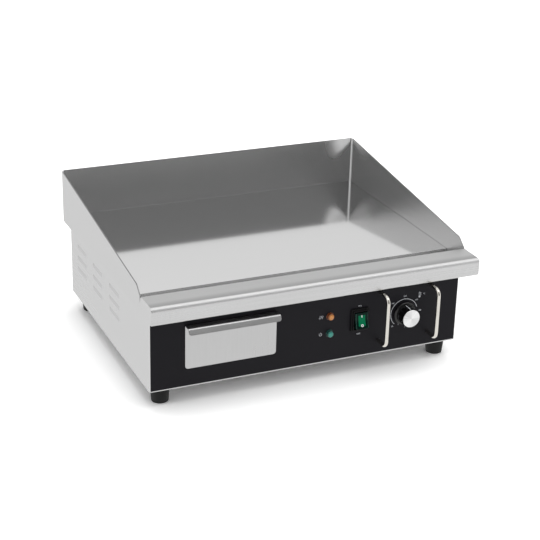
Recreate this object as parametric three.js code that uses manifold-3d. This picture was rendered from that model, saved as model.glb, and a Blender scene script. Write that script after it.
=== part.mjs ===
// Countertop electric griddle: a steel plate in a splash guard, on a casing that holds the heating
// elements, the thermostat, the switch and a pull-out grease drawer.
// Millimetres. x runs right from the left side, y runs back from the control panel, z runs up from the
// worktop. The last lines move the whole griddle so that its origin is the middle of its footprint.
import * as THREE from "three";
import { mergeVertices } from "three/addons/utils/BufferGeometryUtils.js";
import Module from "manifold-3d";

// Fits
const seam = 0.3; // between parts that are screwed or welded together
const turningGap = 0.08; // between a turning part and its bore, on the radius
const holeGap = 0.2; // around a part that passes through a hole
const sideGap = 0.8; // each side of the drawer in its slot

// Casing
const casingWidth = 518.5;
const casingDepth = 400.5;
const casingHeight = 110.7;
const casingSheet = 1.5;
const casingFlange = 18;
const baseFlange = 12;
const footHeight = 28;

// Louvres of the side panels, pressed inwards
const louvreLength = 50;
const louvreHeight = 9;
const louvreDepth = 4;
const louvreCheek = 1.2;
const louvreColumns = 3;
const louvreRows = 3;
const louvreRowPitch = 20;
const firstLouvre = 165.5; // from the control panel to the middle of the first column
const lastLouvre = 63; // from the middle of the last column to the back panel
const louvreDrop = 10; // from the casing's top to the first row

// Top unit: plate, splash guard, front ledge and grease gutter
const rightOverhang = 31.5;
const rearOverhang = 49.5;
const plateThickness = 8;
const gutterWidth = 52;
const gutterSheet = 1.5;
const gutterLap = 3; // the gutter's upstand ends this far below the ledge
const splashSheet = 2;
const splashBend = 3;
const splashRise = 90;
const cheekRise = 41.8;
const cheekLean = 16.5;
const cheekRadius = 8;
const ledgeOverhang = 8.3;
const ledgeDepth = 48.5;
const ledgeRise = 28.2;
const ledgeSheet = 1.5;
const ledgeNose = 8;
const ledgeFold = 1;
const ledgeReturn = 14;

// Drain from the gutter into the drawer
const drainBore = 11.5;
const drainWall = 1.5;
const drainPlate = 42; // side of the square plate let into the gutter's floor
const drainAbove = 4; // from the drawer's rim to the spout

// Grease drawer
const drawerLeft = 55.5;
const drawerWidth = 147;
const drawerBottom = 30; // above the casing's bottom edge
const drawerTopDrop = 9.3; // below the casing's top
const drawerDepth = 96;
const drawerSheet = 1.2;
const drawerLap = 3; // the front covers the slot by this much
const drawerLipReach = 15;
const drawerLipDrop = 8.4;
const drawerLipLean = 5.3; // its lower edge stands out further than its fold
const drawerCorner = 5;
const lipCorner = 4;
const drawerRimDrop = 7; // the tray's rim lies this far below the top of the slot
const housingSheet = 1.2;
const housingFlange = 8;

// Controls, placed from the casing's right side and from its bottom edge
const lampFromRight = 226;
const powerLampHeight = 48.6;
const heatLampHeight = 77.7;
const lampRadius = 6.4;
const lampDome = 5.6;
const lampFlange = 1.5;
const lampReach = 6.6;
const lampBarrel = 4.8;
const lampBarrelLength = 22;
const lampCollar = 6.6;
const lampCollarWidth = 2.5;
const switchFromRight = 174.9;
const switchHeight = 64.2;
const switchFrameWidth = 31;
const switchFrameHeight = 38;
const switchFramePlate = 3;
const switchCollarWidth = 26.5;
const switchCollarHeight = 33.5;
const switchCollarReach = 6;
const switchOpeningWidth = 22;
const switchOpeningHeight = 28.6;
const switchBodyDepth = 24;
const switchTabPitch = 8;
const switchTabLength = 8;
const switchTabWidth = 4.8;
const switchTabThickness = 0.8;
const rockerWidth = 21;
const rockerHalfHeight = 12.8;
const rockerReach = 8; // from the pivot to the ends of its face
const rockerWaist = 6;
const rockerFoot = 4.5;
const rockerPivot = 3; // in front of the panel
const rockerPin = 1.2;
const rockerTilt = 13; // degrees to either side; drawn switched on, with the top pressed in
const knobFromRight = 96;
const knobHeight = 62.5;
const knobSkirtRadius = 19;
const knobSkirtGap = 2.6;
const knobSkirtThickness = 2.4;
const knobRootRadius = 15.6;
const knobTipRadius = 14.8;
const knobCapRadius = 14.5;
const knobCapThickness = 1.7;
const knobReach = 25;
const pointerAngle = 95; // degrees from the right-hand side, where the pointer is drawn
const pointerHeight = 0.4;
const pointerWidth = 1.2;
const shaftRadius = 3;
const shaftInKnob = 13;
const shaftInBody = 12;
const thermostatWidth = 42;
const thermostatHeight = 44;
const thermostatDepth = 34;
const thermostatNeck = 5;
const thermostatScrewSpread = 14;
const screwRadius = 2;
const screwHead = 3.6;
const screwHeadHeight = 1.8;

// Guard rods either side of the knob
const guardFromKnob = 44.2;
const guardReach = 28;
const guardRodRadius = 3;
const guardBend = 10;
const guardBottom = 22.5;
const guardTopDrop = 6;
const guardTail = 8;
const guardNut = 5;
const guardNutHeight = 4;

// Heating elements under the plate, and what holds them
const elementRadius = 4;
const elementLegs = 4;
const elementSideMargin = 48;
const elementRearMargin = 34;
const elementFront = 98; // where the terminals end
const elementTurn = 138; // the front turn
const elementInnerTurn = 56; // the inner loop ends this far before the outer one
const barInset = 14;
const barWidth = 20;
const barThickness = 3;
const barFront = 180;
const barRearMargin = 112;
const studRadius = 2.5;
const studTail = 2;
const nutRadius = 4.6;
const nutHeight = 4;

// Insulated tray below the elements
const shieldSheet = 1.2;
const shieldFront = 108;
const shieldSide = 2.5; // from the louvres to the shield
const shieldRear = 10;
const shieldDrop = 43.7; // from the casing's top to the bottom of the shield
const shieldFrontHeight = 23;
const matThickness = 22;

// Feet
const footTopRadius = 15.6;
const footBottomRadius = 13.4;
const footInset = 24.5;
const footRightInset = 22;
const footBore = 2.6;
const footPocketRadius = 5.5;
const footPocketDepth = 12;
const footScrewHead = 4.5;
const footScrewHeadHeight = 3;
const footScrewTail = 6;

// Supply
const glandFromRight = 80;
const glandHeight = 36;
const glandBore = 4.5;
const glandThread = 7.5;
const glandHex = 11;
const glandHexWidth = 6;
const glandDome = 9;
const glandReach = 24;
const glandNutWidth = 5;
const blockWidth = 46;
const blockDepth = 22;
const blockHeight = 20;
const blockRearMargin = 76;
const blockStep = 4;
const earthFromBlock = 44;
const earthRadius = 3;
const earthLength = 18;
const earthNut = 5.5;
const earthNutHeight = 5;

// Temperature sensing and wiring
const bulbRadius = 3;
const bulbLength = 80;
const bulbFront = 196;
const capillaryRadius = 1.2;
const capillaryBend = 12;
const wireRadius = 1.6;
const wireBend = 9;
const wireLane = 7; // between wires that run side by side
const wireRise = 14; // of the lowest wire above the base plate

// Levels and lines that several parts share
const baseZ = footHeight;
const floorZ = baseZ + casingSheet;
const casingTop = baseZ + casingHeight;
const unitZ = casingTop + seam;
const plateTop = unitZ + plateThickness;
const ledgeTop = unitZ + ledgeRise;
const topWidth = casingWidth + rightOverhang;
const ledgeFront = -ledgeOverhang;
const ledgeBack = ledgeFront + ledgeDepth;
const plateFront = ledgeBack + gutterWidth;
const rearY = casingDepth + rearOverhang;
const innerLeft = casingSheet + seam;
const innerRight = casingWidth - casingSheet - seam;
const innerFront = casingSheet + seam;
const innerBack = casingDepth - casingSheet - seam;
const knobX = casingWidth - knobFromRight;
const knobZ = baseZ + knobHeight;
const switchX = casingWidth - switchFromRight;
const switchZ = baseZ + switchHeight;
const lampX = casingWidth - lampFromRight;

const wasm = await Module();
wasm.setup();

// Solids for the boolean cuts, from geometries and back
function solid(geometry) {
  const bare = new THREE.BufferGeometry();
  bare.setAttribute("position", geometry.getAttribute("position"));
  bare.setIndex(geometry.getIndex());
  const merged = mergeVertices(bare, 1e-4);
  return new wasm.Manifold(
    new wasm.Mesh({
      numProp: 3,
      vertProperties: new Float32Array(merged.attributes.position.array),
      triVerts: new Uint32Array(merged.index.array),
    }),
  );
}

function geometryOf(made) {
  const mesh = made.getMesh();
  const geometry = new THREE.BufferGeometry();
  geometry.setAttribute("position", new THREE.BufferAttribute(mesh.vertProperties, 3));
  geometry.setIndex(new THREE.BufferAttribute(mesh.triVerts, 1));
  return geometry;
}

const join = (...geometries) => geometryOf(geometries.map(solid).reduce((a, b) => a.add(b)));
const cut = (geometry, ...tools) =>
  geometryOf(tools.map(solid).reduce((a, b) => a.subtract(b), solid(geometry)));
const common = (a, b) => geometryOf(solid(a).intersect(solid(b)));

// A block between two corners
function block([x0, y0, z0], [x1, y1, z1]) {
  const geometry = new THREE.BoxGeometry(x1 - x0, y1 - y0, z1 - z0);
  return geometry.translate((x0 + x1) / 2, (y0 + y1) / 2, (z0 + z1) / 2);
}

// An outline of [a, b, radius] corners, taken anticlockwise, with an arc at each corner that has a radius
function outline(corners) {
  const shape = new THREE.Shape();
  const at = (i) => new THREE.Vector2(...corners[(i + corners.length) % corners.length].slice(0, 2));
  corners.forEach(([a, b, radius = 0], i) => {
    const here = new THREE.Vector2(a, b);
    const before = at(i - 1).sub(here);
    const after = at(i + 1).sub(here);
    if (radius > 0) {
      const half = before.angleTo(after) / 2;
      const reach = Math.min(radius / Math.tan(half), before.length() / 2, after.length() / 2);
      const trueRadius = reach * Math.tan(half);
      const inwards = before.clone().normalize().add(after.clone().normalize()).normalize();
      const centre = here.clone().addScaledVector(inwards, trueRadius / Math.sin(half));
      const start = here.clone().addScaledVector(before.normalize(), reach).sub(centre);
      const end = here.clone().addScaledVector(after.normalize(), reach).sub(centre);
      const clockwise = before.cross(after) > 0;
      shape.absarc(centre.x, centre.y, trueRadius, start.angle(), end.angle(), clockwise);
    } else if (i === 0) {
      shape.moveTo(a, b);
    } else {
      shape.lineTo(a, b);
    }
  });
  return shape;
}

// The outline of a sheet folded along a path, lying to the left of it, with a bend at each inner corner
function folded(path, thickness, bends) {
  const directions = path.slice(1).map(([a, b], i) =>
    new THREE.Vector2(a - path[i][0], b - path[i][1]).normalize());
  const turns = path.map((_, i) =>
    i === 0 || i === path.length - 1 ? 0 : Math.sign(directions[i - 1].cross(directions[i])));
  const outer = [];
  const inner = [];
  path.forEach(([a, b], i) => {
    const arriving = directions[Math.max(i - 1, 0)];
    const leaving = directions[Math.min(i, directions.length - 1)];
    const offset = new THREE.Vector2(-arriving.y - leaving.y, arriving.x + leaving.x).normalize();
    const reach = thickness / offset.dot(new THREE.Vector2(-arriving.y, arriving.x));
    const bend = turns[i] === 0 ? 0 : bends[i - 1];
    outer.push([a, b, turns[i] === 0 ? 0 : bend + (turns[i] > 0 ? thickness : 0)]);
    inner.push([
      a + offset.x * reach,
      b + offset.y * reach,
      turns[i] === 0 ? 0 : bend + (turns[i] < 0 ? thickness : 0),
    ]);
  });
  return outline([...outer, ...inner.reverse()]);
}

// A rounded rectangle; radii go round from the low-low corner
const rectangle = (a0, b0, a1, b1, radii = [0, 0, 0, 0]) =>
  outline([[a0, b0, radii[0]], [a1, b0, radii[1]], [a1, b1, radii[2]], [a0, b1, radii[3]]]);

const arcSteps = 3; // doubled by three.js for an arc
const extruded = (shape, depth) =>
  new THREE.ExtrudeGeometry(shape, { depth, bevelEnabled: false, curveSegments: arcSteps });

// Outlines extruded along each axis: (y, z) along x, (x, z) along y, (x, y) along z
function alongX(shape, x0, x1) {
  const turn = new THREE.Matrix4().makeBasis(
    new THREE.Vector3(0, 1, 0),
    new THREE.Vector3(0, 0, 1),
    new THREE.Vector3(1, 0, 0),
  );
  return extruded(shape, x1 - x0).applyMatrix4(turn).translate(x0, 0, 0);
}
const alongY = (shape, y0, y1) => extruded(shape, y1 - y0).rotateX(Math.PI / 2).translate(0, y1, 0);
const alongZ = (shape, z0, z1) => extruded(shape, z1 - z0).translate(0, 0, z0);

// Round bars and turned parts
const roundX = (radius, y, z, x0, x1, sides = 16) =>
  new THREE.CylinderGeometry(radius, radius, x1 - x0, sides)
    .rotateZ(Math.PI / 2)
    .translate((x0 + x1) / 2, y, z);
const roundY = (radius, x, z, y0, y1, sides = 24) =>
  new THREE.CylinderGeometry(radius, radius, y1 - y0, sides).translate(x, (y0 + y1) / 2, z);
const roundZ = (radius, x, y, z0, z1, sides = 24) =>
  new THREE.CylinderGeometry(radius, radius, z1 - z0, sides)
    .rotateX(Math.PI / 2)
    .translate(x, y, (z0 + z1) / 2);
const turnedY = (profile, x, z, sides = 32) =>
  new THREE.LatheGeometry(profile.map(([r, y]) => new THREE.Vector2(r, y)), sides).translate(x, 0, z);
const turnedZ = (profile, x, y, sides = 24) =>
  new THREE.LatheGeometry(profile.map(([r, z]) => new THREE.Vector2(r, z)), sides)
    .rotateX(Math.PI / 2)
    .translate(x, y, 0);

// A line through corners, with each bend drawn as an arc of its radius: one station at each end of a
// straight, and a few round each bend
class BentLine extends THREE.Curve {
  constructor(corners, radius, bendSteps = 6) {
    super();
    this.stations = [];
    const points = corners.map((corner) => new THREE.Vector3(...corner));
    points.forEach((here, i) => {
      const before = points[i - 1];
      const after = points[i + 1];
      if (!before || !after) {
        const way = before ? here.clone().sub(before) : after.clone().sub(here);
        this.stations.push({ point: here, tangent: way.normalize() });
        return;
      }
      const arriving = here.clone().sub(before);
      const leaving = after.clone().sub(here);
      const room = Math.min(arriving.length(), leaving.length()) / 2;
      arriving.normalize();
      leaving.normalize();
      const angle = arriving.angleTo(leaving);
      const reach = Math.min(radius * Math.tan(angle / 2), room);
      const bendRadius = reach / Math.tan(angle / 2);
      const start = here.clone().addScaledVector(arriving, -reach);
      const side = leaving.clone().addScaledVector(arriving, -arriving.dot(leaving)).normalize();
      for (let step = 0; step <= bendSteps; step += 1) {
        const turned = (angle * step) / bendSteps;
        const point = start
          .clone()
          .addScaledVector(arriving, bendRadius * Math.sin(turned))
          .addScaledVector(side, bendRadius * (1 - Math.cos(turned)));
        const tangent = arriving
          .clone()
          .multiplyScalar(Math.cos(turned))
          .addScaledVector(side, Math.sin(turned));
        const last = this.stations[this.stations.length - 1];
        if (last.point.distanceTo(point) > 1e-3) this.stations.push({ point, tangent });
      }
    });
  }

  get steps() {
    return this.stations.length - 1;
  }

  station(u) {
    return this.stations[Math.round(u * this.steps)];
  }

  getPointAt(u) {
    return this.station(u).point.clone();
  }

  getTangentAt(u) {
    return this.station(u).tangent.clone();
  }
}

// A round rod, tube or wire along a bent line
function rod(radius, corners, bend, sides = 8) {
  const section = new THREE.Shape();
  for (let i = 0; i < sides; i += 1) {
    const angle = (i / sides) * 2 * Math.PI;
    section[i === 0 ? "moveTo" : "lineTo"](radius * Math.cos(angle), radius * Math.sin(angle));
  }
  const line = new BentLine(corners, bend);
  return new THREE.ExtrudeGeometry(section, { steps: line.steps, extrudePath: line });
}

const painted = { color: 0x222224, roughness: 0.45, metalness: 0.1 };
const brushed = { color: 0xc8c8c8, roughness: 0.35, metalness: 1 };
const polished = { color: 0xdcdcdc, roughness: 0.1, metalness: 1 };
const rubber = { color: 0x161616, roughness: 0.8, metalness: 0 };
const blackPlastic = { color: 0x101010, roughness: 0.3, metalness: 0 };
const zinc = { color: 0x9a9da0, roughness: 0.4, metalness: 1 };

const griddle = new THREE.Group();
const assembly = new THREE.Group();
griddle.add(assembly);

function add(name, geometry, look) {
  const mesh = new THREE.Mesh(geometry, new THREE.MeshStandardMaterial(look));
  mesh.name = name;
  assembly.add(mesh);
}

// One louvre: a window in the wall and the flap behind it, leaning in from the window's foot
function louvreWindow(y, top) {
  return block(
    [-casingSheet, y - louvreLength / 2, top - louvreHeight],
    [2 * casingSheet, y + louvreLength / 2, top],
  );
}

function louvreFlap(y, top) {
  const foot = top - louvreHeight;
  const root = foot - casingSheet;
  const inside = louvreDepth + casingSheet;
  const front = y - louvreLength / 2;
  const back = y + louvreLength / 2;
  const flap = outline([
    [0, root],
    [casingSheet, root],
    [inside, top - casingSheet],
    [inside, top],
    [louvreDepth, top],
    [0, foot],
  ]);
  const cheek = outline([[casingSheet / 2, foot], [casingSheet, root], [inside, top], [casingSheet / 2, top]]);
  return join(
    alongY(flap, front, back),
    alongY(cheek, front - louvreCheek, front + louvreCheek / 2),
    alongY(cheek, back - louvreCheek / 2, back + louvreCheek),
  );
}

function sidePanel() {
  const wall = block([0, 0, baseZ], [casingSheet, casingDepth, casingTop]);
  const flange = block([0, innerFront, casingTop - casingSheet], [casingFlange, innerBack, casingTop]);
  const windows = [];
  const flaps = [];
  for (let column = 0; column < louvreColumns; column += 1) {
    for (let row = 0; row < louvreRows; row += 1) {
      const y = firstLouvre + (column * (casingDepth - firstLouvre - lastLouvre)) / (louvreColumns - 1);
      const top = casingTop - louvreDrop - row * louvreRowPitch;
      windows.push(louvreWindow(y, top));
      flaps.push(louvreFlap(y, top));
    }
  }
  return join(cut(join(wall, flange), ...windows), ...flaps);
}

// The same part for the right-hand side
function mirrored(geometry) {
  const other = geometry.clone().applyMatrix4(new THREE.Matrix4().makeScale(-1, 1, 1));
  const index = other.getIndex();
  for (let i = 0; i < index.count; i += 3) {
    const second = index.getX(i + 1);
    index.setX(i + 1, index.getX(i + 2));
    index.setX(i + 2, second);
  }
  return other.translate(casingWidth, 0, 0);
}

function casing() {
  const side = sidePanel();
  add("left_side_panel", side, brushed);
  add("right_side_panel", mirrored(side), brushed);

  const glandX = casingWidth - glandFromRight;
  const backPanel = cut(
    block([innerLeft, casingDepth - casingSheet, baseZ], [innerRight, casingDepth, casingTop]),
    roundY(glandThread + seam, glandX, baseZ + glandHeight, innerBack, casingDepth + 1),
  );
  add("back_panel", backPanel, brushed);

  const tray = block([innerLeft, 0, baseZ], [innerRight, innerBack, floorZ + baseFlange]);
  const hollow = block(
    [innerLeft + casingSheet, -1, floorZ],
    [innerRight - casingSheet, innerBack - casingSheet, floorZ + baseFlange + 1],
  );
  const frontStep = block([0, -1, floorZ], [casingWidth, innerFront, floorZ + baseFlange + 1]);
  const screwHoles = footPlaces().map(([x, y]) =>
    roundZ(screwRadius + 2 * holeGap, x, y, baseZ - 1, floorZ + 1, 16));
  add("base_plate", cut(tray, hollow, frontStep, ...screwHoles), zinc);
}

// The slot for the drawer in the control panel, as [left, bottom, right, top]
const slot = [
  drawerLeft + drawerLap,
  baseZ + drawerBottom + drawerLap,
  drawerLeft + drawerWidth - drawerLap,
  casingTop - drawerTopDrop - drawerLap,
];
const trayRim = slot[3] - drawerRimDrop;

const guardXs = [knobX - guardFromKnob, knobX + guardFromKnob];
const guardZs = [baseZ + guardBottom, casingTop - guardTopDrop];

function controlPanel() {
  const sheet = block([innerLeft, 0, floorZ + seam], [innerRight, casingSheet, casingTop]);
  const through = (radius, x, z, sides) => roundY(radius + holeGap, x, z, -1, casingSheet + 1, sides);
  const switchHole = rectangle(
    switchX - switchOpeningWidth / 2 - seam,
    switchZ - switchOpeningHeight / 2 - seam,
    switchX + switchOpeningWidth / 2 + seam,
    switchZ + switchOpeningHeight / 2 + seam,
  );
  const [left, bottom, right, top] = slot;
  const panel = cut(
    sheet,
    block([left, -1, bottom], [right, casingSheet + 1, top]),
    alongY(switchHole, -1, casingSheet + 1),
    through(lampBarrel, lampX, baseZ + powerLampHeight, 24),
    through(lampBarrel, lampX, baseZ + heatLampHeight, 24),
    through(thermostatNeck, knobX, knobZ, 24),
    through(screwRadius, knobX - thermostatScrewSpread, knobZ, 12),
    through(screwRadius, knobX + thermostatScrewSpread, knobZ, 12),
    ...guardXs.flatMap((x) => guardZs.map((z) => through(guardRodRadius, x, z, 16))),
  );
  add("control_panel", panel, painted);
}

function drawer() {
  const [left, bottom, right, top] = slot;
  const frontRight = drawerLeft + drawerWidth;
  const frontBottom = baseZ + drawerBottom;
  const frontTop = casingTop - drawerTopDrop;
  const lipBottom = frontTop - drawerLipDrop;
  const plate = rectangle(
    drawerLeft,
    frontBottom,
    frontRight,
    frontTop - drawerSheet,
    [drawerCorner, drawerCorner, 0, 0],
  );
  const lipPath = [
    [-seam, frontTop - 3 * drawerSheet],
    [-seam, frontTop],
    [-drawerLipReach, frontTop],
    [-drawerLipReach - drawerLipLean, lipBottom],
  ];
  const lip = common(
    alongX(folded(lipPath, drawerSheet, [drawerSheet, drawerSheet]), drawerLeft, frontRight),
    alongY(
      rectangle(drawerLeft, lipBottom, frontRight, frontTop, [lipCorner, lipCorner, 0, 0]),
      -drawerLipReach - drawerLipLean - 1,
      0,
    ),
  );
  add("drawer_front", join(alongY(plate, -seam - drawerSheet, -seam), lip), brushed);

  const trayLow = [left + sideGap, 0, bottom + seam];
  const trayHigh = [right - sideGap, drawerDepth, trayRim];
  const inside = block(
    [trayLow[0] + drawerSheet, trayLow[1] + drawerSheet, trayLow[2] + drawerSheet],
    [trayHigh[0] - drawerSheet, trayHigh[1] - drawerSheet, trayHigh[2] + 1],
  );
  add("drawer_tray", cut(block(trayLow, trayHigh), inside), brushed);

  // The sleeve that the tray slides in: a box open at the front and top, with a flange behind the panel
  const sleeveBack = drawerDepth + sideGap;
  const sleeve = block(
    [left - housingSheet, innerFront, bottom - housingSheet],
    [right + housingSheet, sleeveBack + housingSheet, trayRim],
  );
  const flange = block(
    [left - housingFlange, innerFront, bottom - housingFlange],
    [right + housingFlange, innerFront + housingSheet, trayRim],
  );
  const runway = block([left, 0, bottom], [right, sleeveBack, trayRim + 1]);
  add("drawer_housing", cut(join(sleeve, flange), runway), zinc);
}

function topUnit() {
  const wallGap = splashSheet + seam;
  const plateCorner = splashBend + seam;
  const slab = alongZ(
    rectangle(wallGap, plateFront, topWidth - wallGap, rearY - wallGap, [0, 0, plateCorner, plateCorner]),
    unitZ,
    plateTop,
  );
  const studs = studPlaces().map(([x, y]) => roundZ(studRadius, x, y, studBottom, unitZ + 1, 12));
  add("griddle_plate", join(slab, ...studs), polished);

  const guardFront = ledgeBack + seam;
  const wrap = folded(
    [[topWidth, guardFront], [topWidth, rearY], [0, rearY], [0, guardFront]],
    splashSheet,
    [splashBend, splashBend],
  );
  const silhouette = outline([
    [guardFront, unitZ],
    [rearY + 1, unitZ],
    [rearY + 1, unitZ + splashRise],
    [rearY, unitZ + splashRise],
    [guardFront + cheekLean, unitZ + cheekRise, cheekRadius],
    [guardFront, ledgeTop],
  ]);
  const blank = alongZ(wrap, unitZ, unitZ + splashRise);
  add("splash_guard", common(blank, alongX(silhouette, -1, topWidth + 1)), brushed);

  const ledgePath = [
    [ledgeBack, unitZ + gutterSheet + seam],
    [ledgeBack, ledgeTop],
    [ledgeFront, ledgeTop],
    [ledgeFront, unitZ],
    [ledgeFront + ledgeReturn, unitZ],
  ];
  const shell = alongX(folded(ledgePath, ledgeSheet, [ledgeFold, ledgeNose, ledgeFold]), 0, topWidth);
  const end = outline([
    [ledgeFront, unitZ, ledgeFold + ledgeSheet],
    [ledgeBack, unitZ],
    [ledgeBack, ledgeTop, ledgeFold + ledgeSheet],
    [ledgeFront, ledgeTop, ledgeNose + ledgeSheet],
  ]);
  const ends = [0, topWidth - ledgeSheet].map((x) => alongX(end, x, x + ledgeSheet));
  add("front_ledge", join(shell, ...ends), brushed);

  const drainX = drawerLeft + drawerWidth / 2;
  const drainY = ledgeBack + gutterWidth / 2;
  const gutterPath = [
    [ledgeBack + seam, ledgeTop - gutterLap],
    [ledgeBack + seam, unitZ],
    [plateFront - seam, unitZ],
  ];
  const trough = alongX(folded(gutterPath, gutterSheet, [gutterSheet]), wallGap, topWidth - wallGap);
  const floorTop = unitZ + gutterSheet;
  const drainSquare = (side, low, high) =>
    block([drainX - side / 2, drainY - side / 2, low], [drainX + side / 2, drainY + side / 2, high]);
  add("grease_gutter", cut(trough, drainSquare(drainPlate, unitZ - 1, floorTop + 1)), brushed);

  const spoutBottom = trayRim + drainAbove;
  const spout = cut(
    join(
      drainSquare(drainPlate - 2 * seam, unitZ, floorTop),
      roundZ(drainBore + drainWall, drainX, drainY, spoutBottom, floorTop - seam),
    ),
    roundZ(drainBore, drainX, drainY, spoutBottom - 1, floorTop + 1),
  );
  add("drain_spout", spout, brushed);
}

function lamp(name, height, glow) {
  const z = baseZ + height;
  const lens = turnedY(
    [
      [0, -seam],
      [lampRadius, -seam],
      [lampRadius, -lampFlange * 0.6],
      [lampRadius - 0.8, -lampFlange],
      [lampDome, -lampFlange],
      [lampDome, -lampReach + 1.2],
      [lampDome - 1.2, -lampReach],
      [0, -lampReach],
    ].reverse(),
    lampX,
    z,
    24,
  );
  add(name + "_lamp_lens", lens, { color: glow, roughness: 0.15, metalness: 0 });
  const barrel = join(
    roundY(lampBarrel, lampX, z, 0, lampBarrelLength, 16),
    roundY(lampCollar, lampX, z, innerFront, innerFront + lampCollarWidth, 16),
  );
  add(name + "_lamp_body", barrel, blackPlastic);
}

function rockerSwitch() {
  const centred = (width, height, corner) =>
    rectangle(
      switchX - width / 2,
      switchZ - height / 2,
      switchX + width / 2,
      switchZ + height / 2,
      [corner, corner, corner, corner],
    );
  const pinEnd = (switchOpeningWidth + switchCollarWidth) / 4;
  const frame = cut(
    join(
      alongY(centred(switchFrameWidth, switchFrameHeight, 3), -switchFramePlate, -seam),
      alongY(centred(switchCollarWidth, switchCollarHeight, 2.5), -switchCollarReach, -1),
    ),
    alongY(centred(switchOpeningWidth, switchOpeningHeight, 0), -switchCollarReach - 1, 1),
    roundX(rockerPin + turningGap, -rockerPivot, switchZ, switchX - pinEnd, switchX + pinEnd),
  );
  add("switch_frame", frame, blackPlastic);

  const bodyFront = 4;
  const shell = alongY(centred(switchOpeningWidth - seam, switchOpeningHeight - seam, 0), 0, switchBodyDepth);
  const well = alongY(centred(rockerWidth + 2 * seam, switchOpeningHeight - 4, 0), -1, bodyFront);
  const tabs = [-1, 0, 1].map((place) => {
    const middle = switchZ + place * switchTabPitch;
    return block(
      [switchX - switchTabThickness / 2, switchBodyDepth - 1, middle - switchTabWidth / 2],
      [switchX + switchTabThickness / 2, switchBodyDepth + switchTabLength, middle + switchTabWidth / 2],
    );
  });
  add("switch_body", join(cut(shell, well), ...tabs), blackPlastic);

  // Drawn level about its pivot, then tilted
  const taper = 1.4;
  const rocker = outline([
    [-rockerReach, rockerHalfHeight],
    [-rockerWaist, 0],
    [-rockerReach, -rockerHalfHeight],
    [-2, taper - rockerHalfHeight],
    [rockerFoot / 2, -6],
    [rockerFoot, -2],
    [rockerFoot, 2],
    [rockerFoot / 2, 6],
    [-2, rockerHalfHeight - taper],
  ]);
  const key = join(
    alongX(rocker, -rockerWidth / 2, rockerWidth / 2),
    roundX(rockerPin, 0, 0, seam - pinEnd, pinEnd - seam),
  )
    .rotateX(THREE.MathUtils.degToRad(-rockerTilt))
    .translate(switchX, -rockerPivot, switchZ);
  add("switch_rocker", key, { color: 0x0c7a42, roughness: 0.2, metalness: 0 });
}

function thermostat() {
  const body = cut(
    join(
      block(
        [knobX - thermostatWidth / 2, innerFront, knobZ - thermostatHeight / 2],
        [knobX + thermostatWidth / 2, innerFront + thermostatDepth, knobZ + thermostatHeight / 2],
      ),
      roundY(thermostatNeck, knobX, knobZ, 0, innerFront + 1),
    ),
    roundY(shaftRadius + turningGap, knobX, knobZ, -1, shaftInBody + seam),
    ...[-1, 1].map((side) =>
      roundY(screwRadius + holeGap, knobX + side * thermostatScrewSpread, knobZ, 0, shaftInBody, 12)),
  );
  add("thermostat_body", body, zinc);
  [-1, 1].forEach((side) => {
    const x = knobX + side * thermostatScrewSpread;
    const screw = join(
      roundY(screwHead, x, knobZ, -seam - screwHeadHeight, -seam, 16),
      roundY(screwRadius, x, knobZ, -seam - 1, shaftInBody - 1, 12),
    );
    add("thermostat_screw_" + (side < 0 ? "left" : "right"), screw, zinc);
  });
  const shaftFront = -knobSkirtGap - shaftInKnob;
  add("thermostat_shaft", roundY(shaftRadius, knobX, knobZ, shaftFront, shaftInBody), brushed);

  const skirtFront = -knobSkirtGap - knobSkirtThickness;
  const tip = -knobReach + knobCapThickness + seam;
  const bore = shaftRadius + seam;
  const grip = turnedY(
    [
      [bore, -knobSkirtGap],
      [knobSkirtRadius, -knobSkirtGap],
      [knobSkirtRadius, skirtFront + 0.7],
      [knobSkirtRadius - 0.7, skirtFront],
      [knobRootRadius, skirtFront],
      [knobTipRadius, tip],
      [0, tip],
      [0, shaftFront - seam],
      [bore, shaftFront - seam],
      [bore, -knobSkirtGap],
    ].reverse(),
    knobX,
    knobZ,
    48,
  );
  const rib = block(
    [0, tip + 2.5, -pointerWidth / 2],
    [knobRootRadius + pointerHeight, skirtFront + 0.5, pointerWidth / 2],
  );
  const hollow = block([-1, -knobReach, -5], [knobTipRadius - 2, 0, 5]);
  const pointer = cut(rib, hollow)
    .rotateY(THREE.MathUtils.degToRad(-pointerAngle))
    .translate(knobX, 0, knobZ);
  add("knob_body", join(grip, pointer), blackPlastic);
  const cap = turnedY(
    [
      [0, tip - seam],
      [knobCapRadius, tip - seam],
      [knobCapRadius, -knobReach + 0.5],
      [knobCapRadius - 0.5, -knobReach],
      [0, -knobReach],
    ].reverse(),
    knobX,
    knobZ,
    48,
  );
  add("knob_cap", cap, { color: 0xe6e6e6, roughness: 0.3, metalness: 1 });
}

// A hexagon nut along y or z with a clear hole
function hexNut(turned, acrossCorners, bore, a, b, low, high) {
  return cut(turned(acrossCorners, a, b, low, high, 6), turned(bore, a, b, low - 1, high + 1, 12));
}

function guards() {
  guardXs.forEach((x, i) => {
    const side = i === 0 ? "left" : "right";
    const corners = [
      [x, guardTail, guardZs[0]],
      [x, -guardReach, guardZs[0]],
      [x, -guardReach, guardZs[1]],
      [x, guardTail, guardZs[1]],
    ];
    add("guard_" + side, rod(guardRodRadius, corners, guardBend, 12), polished);
    guardZs.forEach((z, j) => {
      const nut = hexNut(
        roundY,
        guardNut / Math.cos(Math.PI / 6),
        guardRodRadius + 2 * holeGap,
        x,
        z,
        innerFront,
        innerFront + guardNutHeight,
      );
      add(`guard_nut_${side}_${j === 0 ? "lower" : "upper"}`, nut, zinc);
    });
  });
}

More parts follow.
